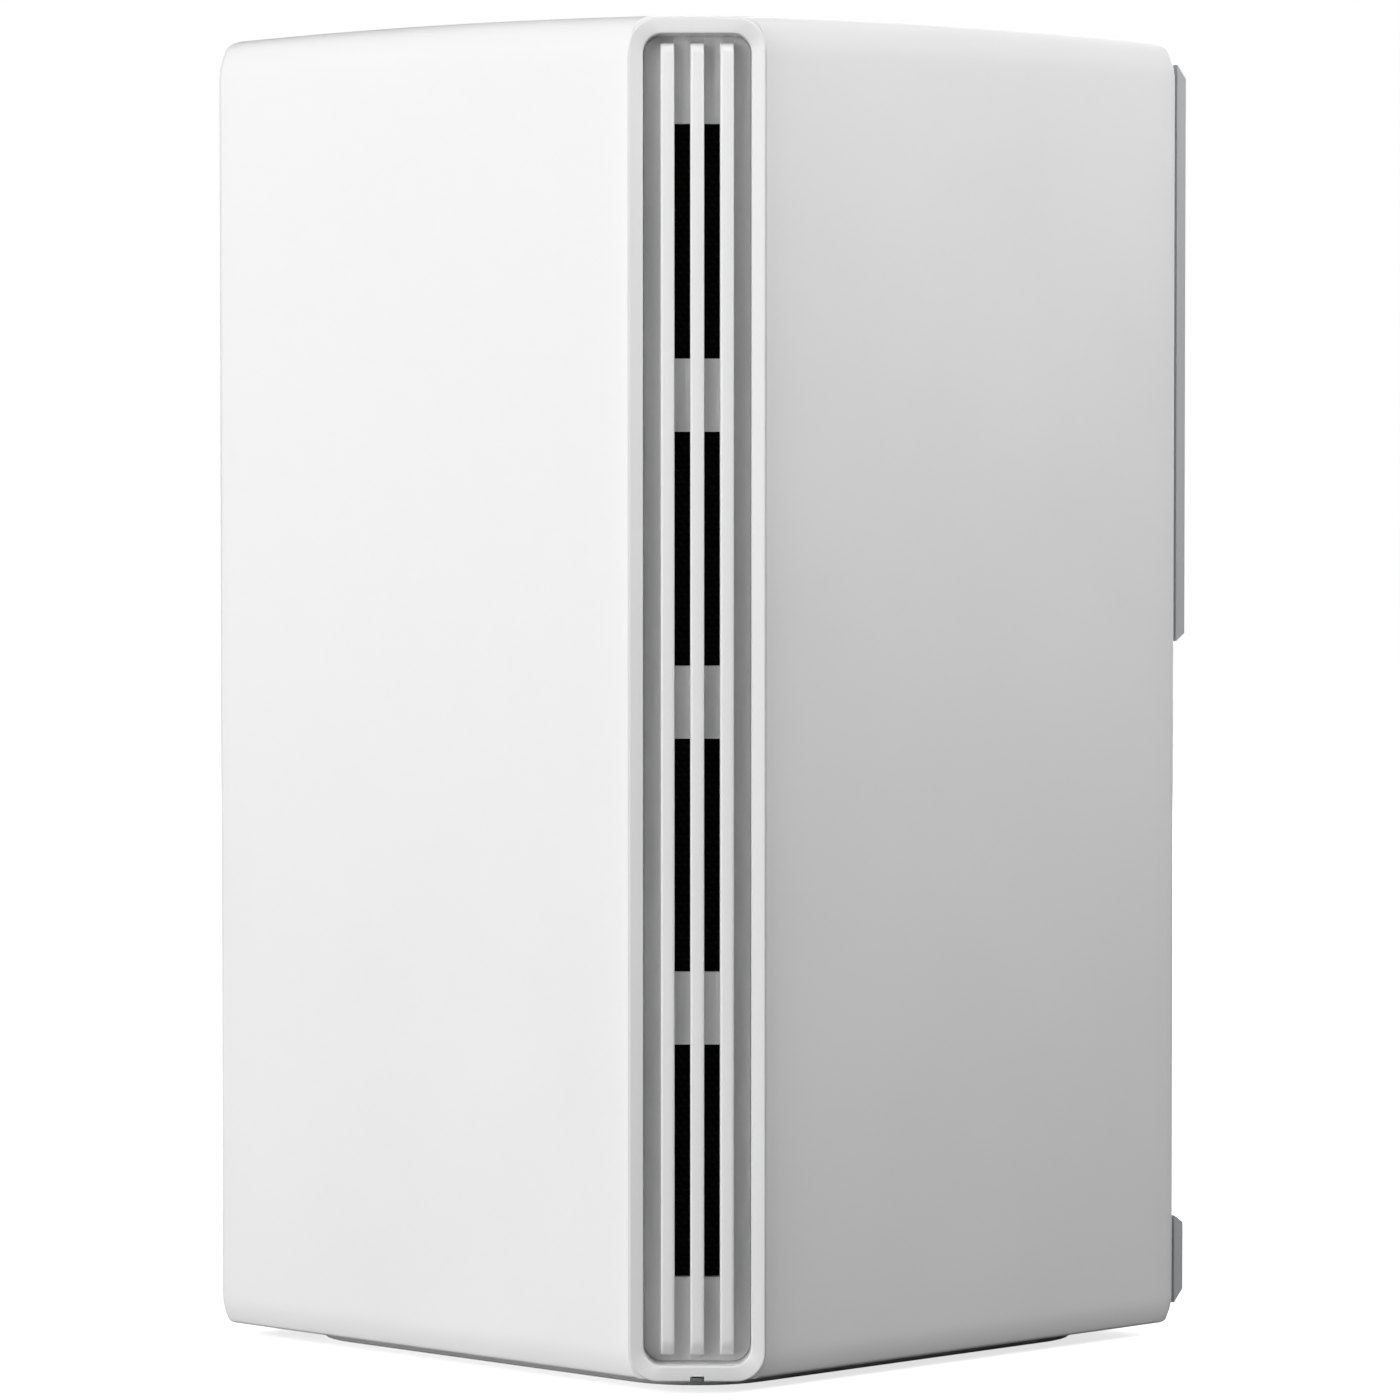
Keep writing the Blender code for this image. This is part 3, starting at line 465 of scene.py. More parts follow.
def to_corner(points):
    """Turn (across, out, up) points to the frame's own axes."""
    turned = points[..., :1] * np.array(ACROSS) + points[..., 1:2] * np.array(OUT)
    turned[..., 2] += points[..., 2]
    return turned + np.array((MIDDLE.x, MIDDLE.y, 0.0))


window_low, window_high = strip_span("led_light_pipe")
WINDOW_HALF = window_high[0] + PLAY
WINDOW_TOP = window_high[2] + WINDOW_OVER
strip_frame = carve(
    grid_piece("strip_frame", to_corner(frame_surface()), ring_rows=True),
    [block(
        "window notch", (-WINDOW_HALF, FRAME_BACK - WALL, LOWER - WALL),
        (WINDOW_HALF, STRIP_FRONT + WALL, WINDOW_TOP), True,
    )],
)
strip_frame.data.set_sharp_from_angle(angle=EDGE_ANGLE)
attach(strip_frame, BODY)
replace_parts(strip_frame, "grille_frame")
print("frame section", len(frame_section(BAND_FALL)), "points")
print("frame faces", len(strip_frame.data.polygons))

# %% [markdown]
# ## The strip's floor and ribs
#
# Inside the frame lies one moulding: a floor with eight air slots, and three upright ribs. Each
# rib is a small round-shouldered cross-section carried up the strip. At its two ends the front
# sinks back in a quarter round, as a tool would leave it. The floor is a rounded plate with the
# slots cut through and their edges broken, and the ribs are joined to it.

# %% Strip floor and ribs
FLOOR_THICK = 1.2 * MM
FLOOR_FRONT = insert_low[1] + FLOOR_THICK
SNUG = 0.02 * MM
RIB_COUNT = 3
RIB_HALF = 0.9 * MM
RIB_PITCH = 3.93 * MM
RIB_FRONT = insert_high[1]
RIB_LENGTH = 173.5 * MM
RIB_TOP_END = 1.5 * MM
RIB_FOOT_END = 2.4 * MM
RIB_EDGE = 0.45 * MM
RIB_END_LIMIT = 3.0 * MM
FLOOR_EDGE = 0.15 * MM
SLOT_EDGE = 0.1 * MM
SLOT_HALF = 1.03 * MM
SLOT_TALL = 31.0 * MM
SLOT_PITCH = 40.67 * MM
SLOT_ROWS = 4
SLOT_MIDDLE = LOWER + 89.8 * MM


def rib_surface(number):
    """Rows up the rib, columns round its section. The front stands at RIB_FRONT, and within a
    reach of each end it sinks by reach * (1 - sqrt(1 - t^2)), t being the share of that reach."""
    middle = (number - (RIB_COUNT - 1) / 2) * RIB_PITCH
    tip = 1 - np.cos(np.linspace(0.0, pi / 2, 10))
    up = np.concatenate([
        RIB_FOOT_END * tip, np.linspace(RIB_FOOT_END, RIB_LENGTH - RIB_TOP_END, 12)[1:-1],
        RIB_LENGTH - RIB_TOP_END * tip[::-1],
    ])
    sunk = np.zeros(len(up))
    for reach, gone in ((RIB_FOOT_END, up), (RIB_TOP_END, RIB_LENGTH - up)):
        t = np.clip(1 - gone / reach, 0, 1)
        sunk += reach * (1 - np.sqrt(1 - t ** 2))
    root = FLOOR_FRONT - FLOOR_THICK / 2
    soft = rounded(
        [(-RIB_HALF, -1.0), (-RIB_HALF, 0.0), (RIB_HALF, 0.0), (RIB_HALF, -1.0)],
        [HAIR / 5, RIB_EDGE, RIB_EDGE, HAIR / 5], 6,
    )
    depth = soft[None, :, 1]
    out = np.where(depth < -RIB_END_LIMIT, root, RIB_FRONT - sunk[:, None] + depth)
    across = np.broadcast_to(soft[None, :, 0] + middle, out.shape)
    height = np.broadcast_to((MID_HEIGHT - RIB_LENGTH / 2 + up)[:, None], out.shape)
    return to_corner(np.stack([across, out, height], axis=-1))


def floor_surface():
    """Rounded plate that fits the collar closely: nested rounded rectangles of rising inset."""
    place, way = loop_parts(10, 10)
    side = FRAME_HALF - BAND - SNUG
    end = HEIGHT_HALF - BAND_END - SNUG
    radius = FRAME_CORNER - CORNER_SHRINK * BAND - SNUG
    rows = np.array([
        (FLOOR_EDGE, FLOOR_FRONT), (FLOOR_EDGE / 3, FLOOR_FRONT - FLOOR_EDGE / 3),
        (0, FLOOR_FRONT - FLOOR_EDGE), (0, FLOOR_FRONT - FLOOR_THICK),
    ])
    inset = rows[:, 0][:, None]
    across = place[None, :, 0] * (side - inset - radius) + way[None, :, 0] * radius
    up = place[None, :, 1] * (end - inset - radius) + way[None, :, 1] * radius + MID_HEIGHT
    out = np.broadcast_to(rows[:, 1][:, None], across.shape)
    return to_corner(np.stack([across, out, up], axis=-1))


def slot_cutters():
    """Blocks through the floor between the ribs."""
    cutters = []
    for column in (-0.5, 0.5):
        for row in range(SLOT_ROWS):
            level = SLOT_MIDDLE + (row - (SLOT_ROWS - 1) / 2) * SLOT_PITCH
            middle = column * RIB_PITCH
            cutters.append(block(
                "slot", (middle - SLOT_HALF, FLOOR_FRONT - WALL, level - SLOT_TALL / 2),
                (middle + SLOT_HALF, FLOOR_FRONT + WALL, level + SLOT_TALL / 2), True,
            ))
    return cutters


def strip_floor():
    """Floor with its slots and broken edges, with the ribs joined to it."""
    floor = carve(grid_piece("strip_floor", floor_surface(), caps=True), slot_cutters())
    round_edges(floor, SLOT_EDGE, 2)
    applied(floor)
    for number in range(RIB_COUNT):
        rib = grid_piece(f"rib {number}", rib_surface(number), caps=True)
        join = floor.modifiers.new(rib.name, "BOOLEAN")
        join.operation = "UNION"
        join.solver = "EXACT"
        join.object = rib
        applied(floor)
        bpy.data.objects.remove(rib, do_unlink=True)
    floor.data.shade_smooth()
    floor.data.set_sharp_from_angle(angle=EDGE_ANGLE)
    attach(floor, BODY)
    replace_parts(floor, "grille_insert")
    return floor


strip_grille = strip_floor()
print("strip floor faces", len(strip_grille.data.polygons))

# %% [markdown]
# ## The rear panel, the port plate, the sockets and the foot
#
# These have their right shape in the design already: they are plates and boxes with sloped
# ends and holes. What they lack is softness. Each becomes a copy with rounded edges, and the
# width of the rounding fits how the piece is made: wide on soft rubber and on a big moulding,
# narrow on folded sheet steel.

# %% Softened pieces
SOFT_EDGES = {
    "rear_panel": ("panel_cover", 0.35 * MM, "port_grey"),
    "port_plate": ("port_panel", 0.3 * MM, "port_grey"),
    "base_foot": ("foot_ring", 0.45 * MM, "foot_grey"),
    "base_plate": ("underside_plate", 0.3 * MM, "casing_white"),
    "dc_jack_body": ("power_inlet", 0.25 * MM, "black_plastic"),
    "inner_chassis": ("chassis_tray", 0.25 * MM, "chassis_grey"),
    "antenna_carrier": ("antenna_ring", 0.2 * MM, "chassis_grey"),
    "heat_sink": ("finned_sink", 0.12 * MM, "heat_sink_aluminium"),
    "led_light_pipe": ("light_window", 0.06 * MM, "light_window"),
    "main_processor": ("processor", 0.15 * MM, "black_plastic"),
}
SOCKETS = range(1, 5)
for number in SOCKETS:
    SOFT_EDGES[f"lan_jack_shield_{number}"] = (f"socket_shield_{number}", 0.14 * MM, "bright_steel")
    SOFT_EDGES[f"lan_jack_core_{number}"] = (f"socket_core_{number}", 0.18 * MM, "black_plastic")

made = {}
for node, (name, width, slot_name) in SOFT_EDGES.items():
    piece = softened(node, name, width)
    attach(piece, BODY)
    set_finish(piece, slot_name)
    made[name] = piece
print(len(made), "softened pieces")

# %% [markdown]
# ## The buttons
#
# A turned profile suits a round button: a flat face with a shallow dish for the fingertip, a
# rounded rim, and a collar further in that keeps the button from falling out. The profile is a
# list of (radius, depth) points, and the grid carries it round the button's axis.

# %% Buttons
BUTTON_STEP = 1.0 * MM
BUTTON_SHARE = 0.75
BUTTON_SPARE = 0.55 * MM
BUTTON_COLLAR = 0.8 * MM
FACE_SHARE = 0.86  # the rest of the radius is the rounded rim
BUTTON_DISHES = {"mesh_button": 0.25 * MM, "reset_button": 0.08 * MM}


def button_surface(node, dish):
    """Turned surface of a push button. Radius and depth come from its node's box: a dished
    face, depth = dish * (1 - (r/R)^2), a rounded rim, the stem, and the collar behind."""
    low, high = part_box(node)
    collar_radius = (high.x - low.x) / 2
    radius = min(collar_radius - BUTTON_STEP, BUTTON_SHARE * collar_radius + BUTTON_SPARE)
    face = np.linspace(0.03, FACE_SHARE, 9) * radius
    rim = (1 - FACE_SHARE) * radius
    bow = dish * (1 - (face / face[-1]) ** 2)
    turn = np.linspace(0, pi / 2, 6)
    rim_radius = radius - rim + rim * np.sin(turn)
    rim_depth = rim * (1 - np.cos(turn))
    deep = high.y - low.y
    collar = BUTTON_COLLAR
    radii = np.concatenate([face, rim_radius, [radius, collar_radius, collar_radius]])
    depth = np.concatenate([bow, rim_depth, [deep - collar, deep - collar, deep]])
    angle = np.linspace(0, 2 * pi, 48, endpoint=False)
    middle = (low + high) / 2
    x = middle.x + radii[:, None] * np.cos(angle)
    z = middle.z + radii[:, None] * np.sin(angle)
    y = np.broadcast_to((high.y - depth)[:, None], x.shape)
    return np.stack([x, y, z], axis=-1)


for node, dish in BUTTON_DISHES.items():
    piece = grid_piece(f"{node}_cap", button_surface(node, dish), caps=True)
    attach(piece, node)  # each button is the one body of its joint, and has its name
    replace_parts(piece, node)
    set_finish(piece, "port_grey")
    made[piece.name] = piece

# %% [markdown]
# ## The contacts in the sockets
#
# A network socket shows eight thin gold springs, each bent from the mouth's wall inwards and
# down into it. One wire is a small circle carried along a smooth path, and eight of them make
# the row of one socket.

# %% Socket contacts
CONTACTS = 8
CONTACT_PITCH = 1.02 * MM
CONTACT_RADIUS = 0.2 * MM
CONTACT_WALL = 2.1 * MM
CONTACT_START = 11.5 * MM
CONTACT_TIP = 3.0 * MM
CONTACT_RETURN = 0.72  # share of the straight run that the bend comes back by
CONTACT_SWING = 2.4 * MM
CONTACT_BOW = 0.9


def wire_surface(path, radius, sides=8):
    """Circle of the given radius carried along a path that lies in a plane of constant z: at
    each point the circle stands square to the path's direction."""
    along = np.gradient(path, axis=0)
    along /= np.linalg.norm(along, axis=1, keepdims=True)
    up = np.array((0.0, 0.0, 1.0))
    side = np.cross(along, up)
    angle = np.linspace(0, 2 * pi, sides, endpoint=False)[None, :, None]
    return path[:, None] + radius * (np.cos(angle) * side[:, None] + np.sin(angle) * up)


def contact_path(low, high, level):
    """Spring's middle line: along the left wall from deep inside, then a bend back inwards."""
    wall = low.x + CONTACT_WALL
    deep = high.y - CONTACT_START
    tip = high.y - CONTACT_TIP
    t = np.linspace(0, 1, 14)
    back = tip - (tip - deep) * CONTACT_RETURN * t[1:]
    swing = CONTACT_SWING * np.sin(t[1:] * pi / 2) ** CONTACT_BOW
    y = np.concatenate([np.linspace(deep, tip, 8), back])
    x = np.concatenate([np.full(8, wall), wall + swing])
    return np.stack([x, y, np.full(len(x), level)], axis=-1)


def contact_row(number):
    """The eight springs of one socket as one mesh."""
    low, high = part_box(f"lan_jack_core_{number}")
    middle = (low.z + high.z) / 2
    wires = []
    for place in range(CONTACTS):
        level = middle + (place - (CONTACTS - 1) / 2) * CONTACT_PITCH
        surface = wire_surface(contact_path(low, high, level), CONTACT_RADIUS)
        wires.append(grid_piece(f"contact {place}", surface, caps=True))
    bm = bmesh.new()
    for wire in wires:
        bm.from_mesh(wire.data)
        bpy.data.objects.remove(wire, do_unlink=True)
    mesh = bpy.data.meshes.new(f"socket_contacts_{number}")
    bm.to_mesh(mesh)
    bm.free()
    mesh.shade_smooth()
    row = bpy.data.objects.new(mesh.name, mesh)
    bpy.context.scene.collection.objects.link(row)
    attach(row, BODY)
    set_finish(row, "contact_brass")
    return row


for number in SOCKETS:
    made[f"socket_contacts_{number}"] = contact_row(number)
print(len(SOCKETS) * CONTACTS, "contacts")

# %% [markdown]
# ## Shared surface effects
#
# Three effects return on several finishes, so each is a node group. `moulded_surface` is what a
# spark-eroded mould leaves on plastic: a fine grain, and wide soft patches where the gloss and
# the shade differ by a few per cent. `drawn_metal` gives fine lines along one direction, and
# `worn_edges` finds the places where a surface is sharply convex, which handling polishes.
# All of them read Object coordinates in metres, so a scale of 2000 means about 2000 specks per
# metre, half a millimetre each.

# %% Node groups
def new_group(name, inputs, outputs):
    """Empty shader group with named inputs (kind, default) and outputs (kind)."""
    group = bpy.data.node_groups.new(name, "ShaderNodeTree")
    for label, (kind, value) in inputs.items():
        made_socket = group.interface.new_socket(label, in_out="INPUT", socket_type=kind)
        if value is not None:
            made_socket.default_value = value
    for label, kind in outputs.items():
        group.interface.new_socket(label, in_out="OUTPUT", socket_type=kind)
    entry = group.nodes.new("NodeGroupInput")
    result = group.nodes.new("NodeGroupOutput")
    return group, entry, result


def add(tree, kind, **values):
    """New node; plain names set its properties."""
    node = tree.nodes.new(kind)
    for name, value in values.items():
        setattr(node, name, value)
    return node


def remap(tree, source, low, high, to_low, to_high):
    """Map Range node on a socket."""
    node = add(tree, "ShaderNodeMapRange")
    ends = {"From Min": low, "From Max": high, "To Min": to_low, "To Max": to_high}
    for label, value in ends.items():
        socket = node.inputs[label]
        if isinstance(value, bpy.types.NodeSocket):
            tree.links.new(value, socket)
        else:
            socket.default_value = value
    tree.links.new(source, node.inputs["Value"])
    return node.outputs["Result"]


def maths(tree, operation, first, second):
    """Math node of two sockets or numbers."""
    node = add(tree, "ShaderNodeMath", operation=operation)
    for socket, value in zip(node.inputs, (first, second)):
        if isinstance(value, bpy.types.NodeSocket):
            tree.links.new(value, socket)
        else:
            socket.default_value = value
    return node.outputs["Value"]


def noise(tree, vector, scale, detail=2.0, roughness=0.5):
    """Noise texture read at a vector socket; the scale is a number or a socket."""
    node = add(tree, "ShaderNodeTexNoise")
    node.inputs["Detail"].default_value = detail
    node.inputs["Roughness"].default_value = roughness
    if isinstance(scale, bpy.types.NodeSocket):
        tree.links.new(scale, node.inputs["Scale"])
    else:
        node.inputs["Scale"].default_value = scale
    tree.links.new(vector, node.inputs["Vector"])
    return node.outputs["Fac"]


def shaded(tree, colour, share):
    """Colour multiplied by a share."""
    node = add(tree, "ShaderNodeVectorMath", operation="SCALE")
    tree.links.new(colour, node.inputs[0])
    tree.links.new(share, node.inputs["Scale"])
    return node.outputs["Vector"]


def moulded_surface():
    """Grain of moulded plastic. Outputs: colour, roughness, and the grain's height."""
    group, entry, result = new_group(
        "moulded_surface",
        {
            "Position": ("NodeSocketVector", None),
            "Colour": ("NodeSocketColor", (0.8, 0.8, 0.8, 1.0)),
            "Shade Spread": ("NodeSocketFloat", 0.02),
            "Roughness": ("NodeSocketFloat", 0.45),
            "Roughness Spread": ("NodeSocketFloat", 0.08),
            "Grain": ("NodeSocketFloat", 2200.0),
        },
        {"Colour": "NodeSocketColor", "Roughness": "NodeSocketFloat", "Height": "NodeSocketFloat"},
    )
    position = entry.outputs["Position"]
    fine = noise(group, position, entry.outputs["Grain"], 3.0, 0.6)
    patches = noise(group, position, 38.0, 3.0, 0.55)
    flow = noise(group, position, 9.0, 1.0, 0.4)
    both = maths(group, "ADD", patches, maths(group, "MULTIPLY", fine, 0.35))
    swing = remap(group, both, 0.35, 1.0, -1.0, 1.0)
    rough = maths(group, "MULTIPLY", swing, entry.outputs["Roughness Spread"])
    rough = maths(group, "ADD", rough, entry.outputs["Roughness"])
    group.links.new(rough, result.inputs["Roughness"])
    drift = remap(group, maths(group, "ADD", flow, patches), 0.6, 1.4, -1.0, 1.0)
    share = maths(group, "MULTIPLY", drift, entry.outputs["Shade Spread"])
    share = maths(group, "ADD", share, 1.0)
    group.links.new(shaded(group, entry.outputs["Colour"], share), result.inputs["Colour"])
    group.links.new(fine, result.inputs["Height"])
    return group


def drawn_metal():
    """Fine lines of rolled or drawn metal: noise squeezed along one axis by the Stretch."""
    group, entry, result = new_group(
        "drawn_metal",
        {
            "Position": ("NodeSocketVector", None),
            "Colour": ("NodeSocketColor", (0.6, 0.6, 0.6, 1.0)),
            "Stretch": ("NodeSocketVector", (1.0, 0.05, 1.0)),
            "Roughness": ("NodeSocketFloat", 0.3),
        },
        {"Colour": "NodeSocketColor", "Roughness": "NodeSocketFloat", "Height": "NodeSocketFloat"},
    )
    squeezed = add(group, "ShaderNodeVectorMath", operation="MULTIPLY")
    group.links.new(entry.outputs["Position"], squeezed.inputs[0])
    group.links.new(entry.outputs["Stretch"], squeezed.inputs[1])
    lines = noise(group, squeezed.outputs["Vector"], 3200.0, 4.0, 0.65)
    stains = noise(group, entry.outputs["Position"], 120.0, 2.0, 0.5)
    swing = remap(group, maths(group, "ADD", lines, stains), 0.6, 1.4, -0.1, 0.14)
    rough = maths(group, "ADD", swing, entry.outputs["Roughness"])
    group.links.new(rough, result.inputs["Roughness"])
    share = remap(group, stains, 0.3, 0.7, 0.88, 1.06)
    group.links.new(shaded(group, entry.outputs["Colour"], share), result.inputs["Colour"])
    group.links.new(lines, result.inputs["Height"])
    return group


def worn_edges():
    """Mask of convex edges, broken up by noise."""
    group, entry, result = new_group(
        "worn_edges",
        {"Position": ("NodeSocketVector", None), "Amount": ("NodeSocketFloat", 0.5)},
        {"Edge": "NodeSocketFloat"},
    )
    pointed = add(group, "ShaderNodeNewGeometry").outputs["Pointiness"]
    broken = noise(group, entry.outputs["Position"], 500.0, 3.0, 0.6)
    edge = remap(group, pointed, 0.52, 0.6, 0.0, 1.0)
    patchy = maths(group, "MULTIPLY", broken, entry.outputs["Amount"])
    edge = maths(group, "MULTIPLY", edge, patchy)
    group.links.new(edge, result.inputs["Edge"])
    return group


MOULDED = moulded_surface()
DRAWN = drawn_metal()
WORN = worn_edges()
print("groups:", ", ".join(sorted(group.name for group in bpy.data.node_groups)))

# %% [markdown]
# ## The finishes
#
# Each finish is one material with its Principled BSDF set for what the thing is made of. The
# groups feed it colour, roughness and bump, and values that are the same all over, such as the
# metallic value, are set on the shader itself.
#
# The casing's white is a fine matte one; the strip is the same plastic from a smoother tool, so
# it is a little glossier. The foot is a soft grey rubber with a coarser grain. Its grey is partly
# its own and partly painted light: it is set lighter than the rubber's own grey to make up for
# the shade under the casing.

# %% Finishes
def use(tree, group, position, **values):
    """Group node in a material, fed with the position, with its other inputs set."""
    node = add(tree, "ShaderNodeGroup", node_tree=group)
    tree.links.new(position, node.inputs["Position"])
    for label, value in values.items():
        node.inputs[label.replace("_", " ")].default_value = value
    return node


def new_finish(name, **settings):
    """Material with its shader's fixed values set. Returns material, tree, shader, position."""
    material = bpy.data.materials.new(name)
    material.use_nodes = True
    tree = material.node_tree
    shader = tree.nodes["Principled BSDF"]
    for label, value in settings.items():
        shader.inputs[label.replace("_", " ")].default_value = value
    position = add(tree, "ShaderNodeTexCoord").outputs["Object"]
    return material, tree, shader, position


def bump(tree, shader, height, strength, distance):
    """Bump from a height socket into the shader's normal."""
    node = add(tree, "ShaderNodeBump")
    node.inputs["Strength"].default_value = strength
    node.inputs["Distance"].default_value = distance
    tree.links.new(height, node.inputs["Height"])
    tree.links.new(node.outputs["Normal"], shader.inputs["Normal"])


def plastic(name, colour, roughness, grain, depth, shade_spread=0.02, roughness_spread=0.07,
            edge_gloss=0.08, **settings):
    """Moulded plastic: grain and patches, with edges a little smoother from handling."""
    material, tree, shader, position = new_finish(name, **settings)
    surface = use(
        tree, MOULDED, position, Colour=(*colour, 1.0), Shade_Spread=shade_spread,
        Roughness=roughness, Roughness_Spread=roughness_spread, Grain=grain,
    )
    wear = use(tree, WORN, position, Amount=edge_gloss)
    tree.links.new(surface.outputs["Colour"], shader.inputs["Base Color"])
    polished = maths(tree, "SUBTRACT", surface.outputs["Roughness"], wear.outputs["Edge"])
    tree.links.new(polished, shader.inputs["Roughness"])
    bump(tree, shader, surface.outputs["Height"], 0.5, depth)
    return material


def metal(name, colour, roughness, stretch, depth):
    """Bare or plated metal with drawn lines; its edges are brighter where they rub."""
    material, tree, shader, position = new_finish(name, Metallic=1.0)
    surface = use(tree, DRAWN, position, Colour=(*colour, 1.0), Stretch=stretch, Roughness=roughness)
    wear = use(tree, WORN, position, Amount=0.6)
    bright = maths(tree, "ADD", wear.outputs["Edge"], 1.0)
    tree.links.new(shaded(tree, surface.outputs["Colour"], bright), shader.inputs["Base Color"])
    tree.links.new(surface.outputs["Roughness"], shader.inputs["Roughness"])
    bump(tree, shader, surface.outputs["Height"], 0.4, depth)
    return material


def board():
    """Solder mask over copper: pale traces run along two directions under a green lacquer."""
    material, tree, shader, position = new_finish(
        "solder_mask", Coat_Weight=0.5, Coat_Roughness=0.15,
    )
    bricks = add(tree, "ShaderNodeTexBrick")
    bricks.inputs["Scale"].default_value = 260.0
    bricks.inputs["Mortar Size"].default_value = 0.03
    bricks.inputs["Color1"].default_value = (0.012, 0.09, 0.045, 1.0)
    bricks.inputs["Color2"].default_value = (0.016, 0.115, 0.055, 1.0)
    bricks.inputs["Mortar"].default_value = (0.06, 0.24, 0.1, 1.0)
    turned = add(tree, "ShaderNodeCombineXYZ")
    parts = add(tree, "ShaderNodeSeparateXYZ")
    tree.links.new(position, parts.inputs["Vector"])
    across = maths(tree, "ADD", parts.outputs["X"], parts.outputs["Y"])
    tree.links.new(across, turned.inputs["X"])
    tree.links.new(parts.outputs["Z"], turned.inputs["Y"])
    tree.links.new(turned.outputs["Vector"], bricks.inputs["Vector"])
    tree.links.new(bricks.outputs["Color"], shader.inputs["Base Color"])
    speckle = noise(tree, position, 900.0, 3.0, 0.6)
    tree.links.new(remap(tree, speckle, 0.3, 0.7, 0.28, 0.46), shader.inputs["Roughness"])
    bump(tree, shader, bricks.outputs["Fac"], 0.3, 0.00004)
    return material


def screen_cloth():
    """Black dust screen: a fine woven mesh from two crossed waves."""
    material, tree, shader, position = new_finish("dust_screen_cloth", Specular_IOR_Level=0.15)
    waves = []
    for direction in ("Z", "DIAGONAL"):
        wave = add(tree, "ShaderNodeTexWave", bands_direction=direction)
        wave.inputs["Scale"].default_value = 420.0
        tree.links.new(position, wave.inputs["Vector"])
        waves.append(wave.outputs["Fac"])
    weave = maths(tree, "MULTIPLY", waves[0], waves[1])
    colour = add(tree, "ShaderNodeMix", data_type="RGBA")
    colour.inputs["A"].default_value = (0.001, 0.001, 0.001, 1.0)
    colour.inputs["B"].default_value = (0.005, 0.005, 0.0055, 1.0)
    tree.links.new(weave, colour.inputs["Factor"])
    tree.links.new(colour.outputs["Result"], shader.inputs["Base Color"])
    tree.links.new(remap(tree, weave, 0.0, 1.0, 0.95, 0.75), shader.inputs["Roughness"])
    bump(tree, shader, weave, 0.6, 0.0001)
    return material


FINISHES = {
    "casing_white": plastic("casing_matte_white", (0.85, 0.85, 0.85), 0.42, 2400.0, 0.00002),
    "frame_white": plastic("frame_satin_white", (0.81, 0.81, 0.81), 0.34, 3000.0, 0.00001),
    "rib_white": plastic("rib_satin_white", (0.85, 0.85, 0.85), 0.36, 3000.0, 0.00001),
    # partly painted light: the foot's grey is set lighter than the rubber's own to make up for the
    # shade under the casing
    "foot_grey": plastic("foot_soft_grey", (0.68, 0.68, 0.69), 0.72, 1500.0, 0.00006, 0.06),
    "port_grey": plastic("port_matte_grey", (0.5, 0.51, 0.52), 0.48, 2000.0, 0.00003, 0.03),
    "black_plastic": plastic("matte_black", (0.014, 0.014, 0.015), 0.5, 1800.0, 0.00003, 0.2),
    "light_window": plastic(
        "smoked_window", (0.16, 0.16, 0.17), 0.22, 2600.0, 0.000004, 0.05, 0.04,
        Coat_Weight=0.4, Coat_Roughness=0.1,
    ),
    "bright_steel": metal("plated_steel", (0.62, 0.62, 0.6), 0.3, (1.0, 0.04, 1.0), 0.00001),
    "contact_brass": metal("gold_plate", (0.85, 0.62, 0.26), 0.22, (1.0, 0.1, 1.0), 0.000005),
    "heat_sink_aluminium": metal(
        "extruded_aluminium", (0.7, 0.71, 0.72), 0.38, (1.0, 1.0, 0.03), 0.00002,
    ),
    "circuit_board": board(),
    "chassis_grey": plastic("chassis_dark_grey", (0.2, 0.2, 0.21), 0.55, 1600.0, 0.00005, 0.05),
}
SCREEN_CLOTH = screen_cloth()
print(len(FINISHES) + 1, "finishes")

# %% [markdown]
# ## Handing out the finishes
#
# Pieces made above take the finish of their slot. The nodes that stay as they are, mostly small
# parts inside, take theirs by name. Only their materials change.

# %% Hand out the finishes
def wear_finish(piece, material):
    """Give the whole piece one material."""
    piece.data.materials.clear()
    piece.data.materials.append(material)


for piece, slot_name in ((casing_shell, "casing_white"), (strip_frame, "frame_white"),
                         (strip_grille, "frame_white")):
    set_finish(piece, slot_name)
    made[piece.name] = piece
for piece in made.values():
    wear_finish(piece, FINISHES[piece["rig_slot"]])
wear_finish(strip_grille, FINISHES["rib_white"])

KEPT_FINISHES = {
    "bright_steel": ("rf_shield", "board_screw", "base_screw", "power_capacitor", "dc_jack_pin"),
    "black_plastic": ("lan_transformer", "power_inductor", "mesh_switch", "reset_switch",
                      "antenna_cable"),
    "circuit_board": ("main_board", "antenna_board", "status_led_board"),
    "chassis_grey": ("thermal_pad",),
    "light_window": ("status_led",),
}
replaced = {node for piece in made.values() for node in piece.get("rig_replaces", [])}
for node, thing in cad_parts.items():
    if node in replaced:
        continue
    finish = SCREEN_CLOTH if node == "dust_screen" else None
    for slot_name, starts in KEPT_FINISHES.items():
        if node.startswith(starts) and (node != "status_led_board" or slot_name == "circuit_board"):
            finish = FINISHES[slot_name]
    if finish is None:
        print("no finish for", node)
    else:
        wear_finish(thing, finish)
print(len(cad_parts) - len(replaced), "nodes keep their own mesh")

# %% [markdown]
# ## Studio
#
# The floor is a large flat sheet of pale paper, and the background is as bright as the paper is
# far away. The paper looks white to the camera and gives back less light than it seems to, so
# that the router's lower half stays a shade darker than its top, as it does over a matte table.
# To the camera the paper also glows: evenly far off, and less near the router, which is a
# painted shade on the paper round the router's foot.

# %% Floor and background
FLOOR_REACH = 6.0
NEAR_FLOOR = 0.12
FAR_FLOOR = 0.7
NEAR_GLOW = 0.72
FAR_GLOW = 0.99
PAPER_SEEN = 0.92   # share of light the paper gives back to the camera
PAPER_GIVEN = 0.2   # share it gives back to the router
SEEN_LIGHT = 1.0
GIVEN_LIGHT = 0.02


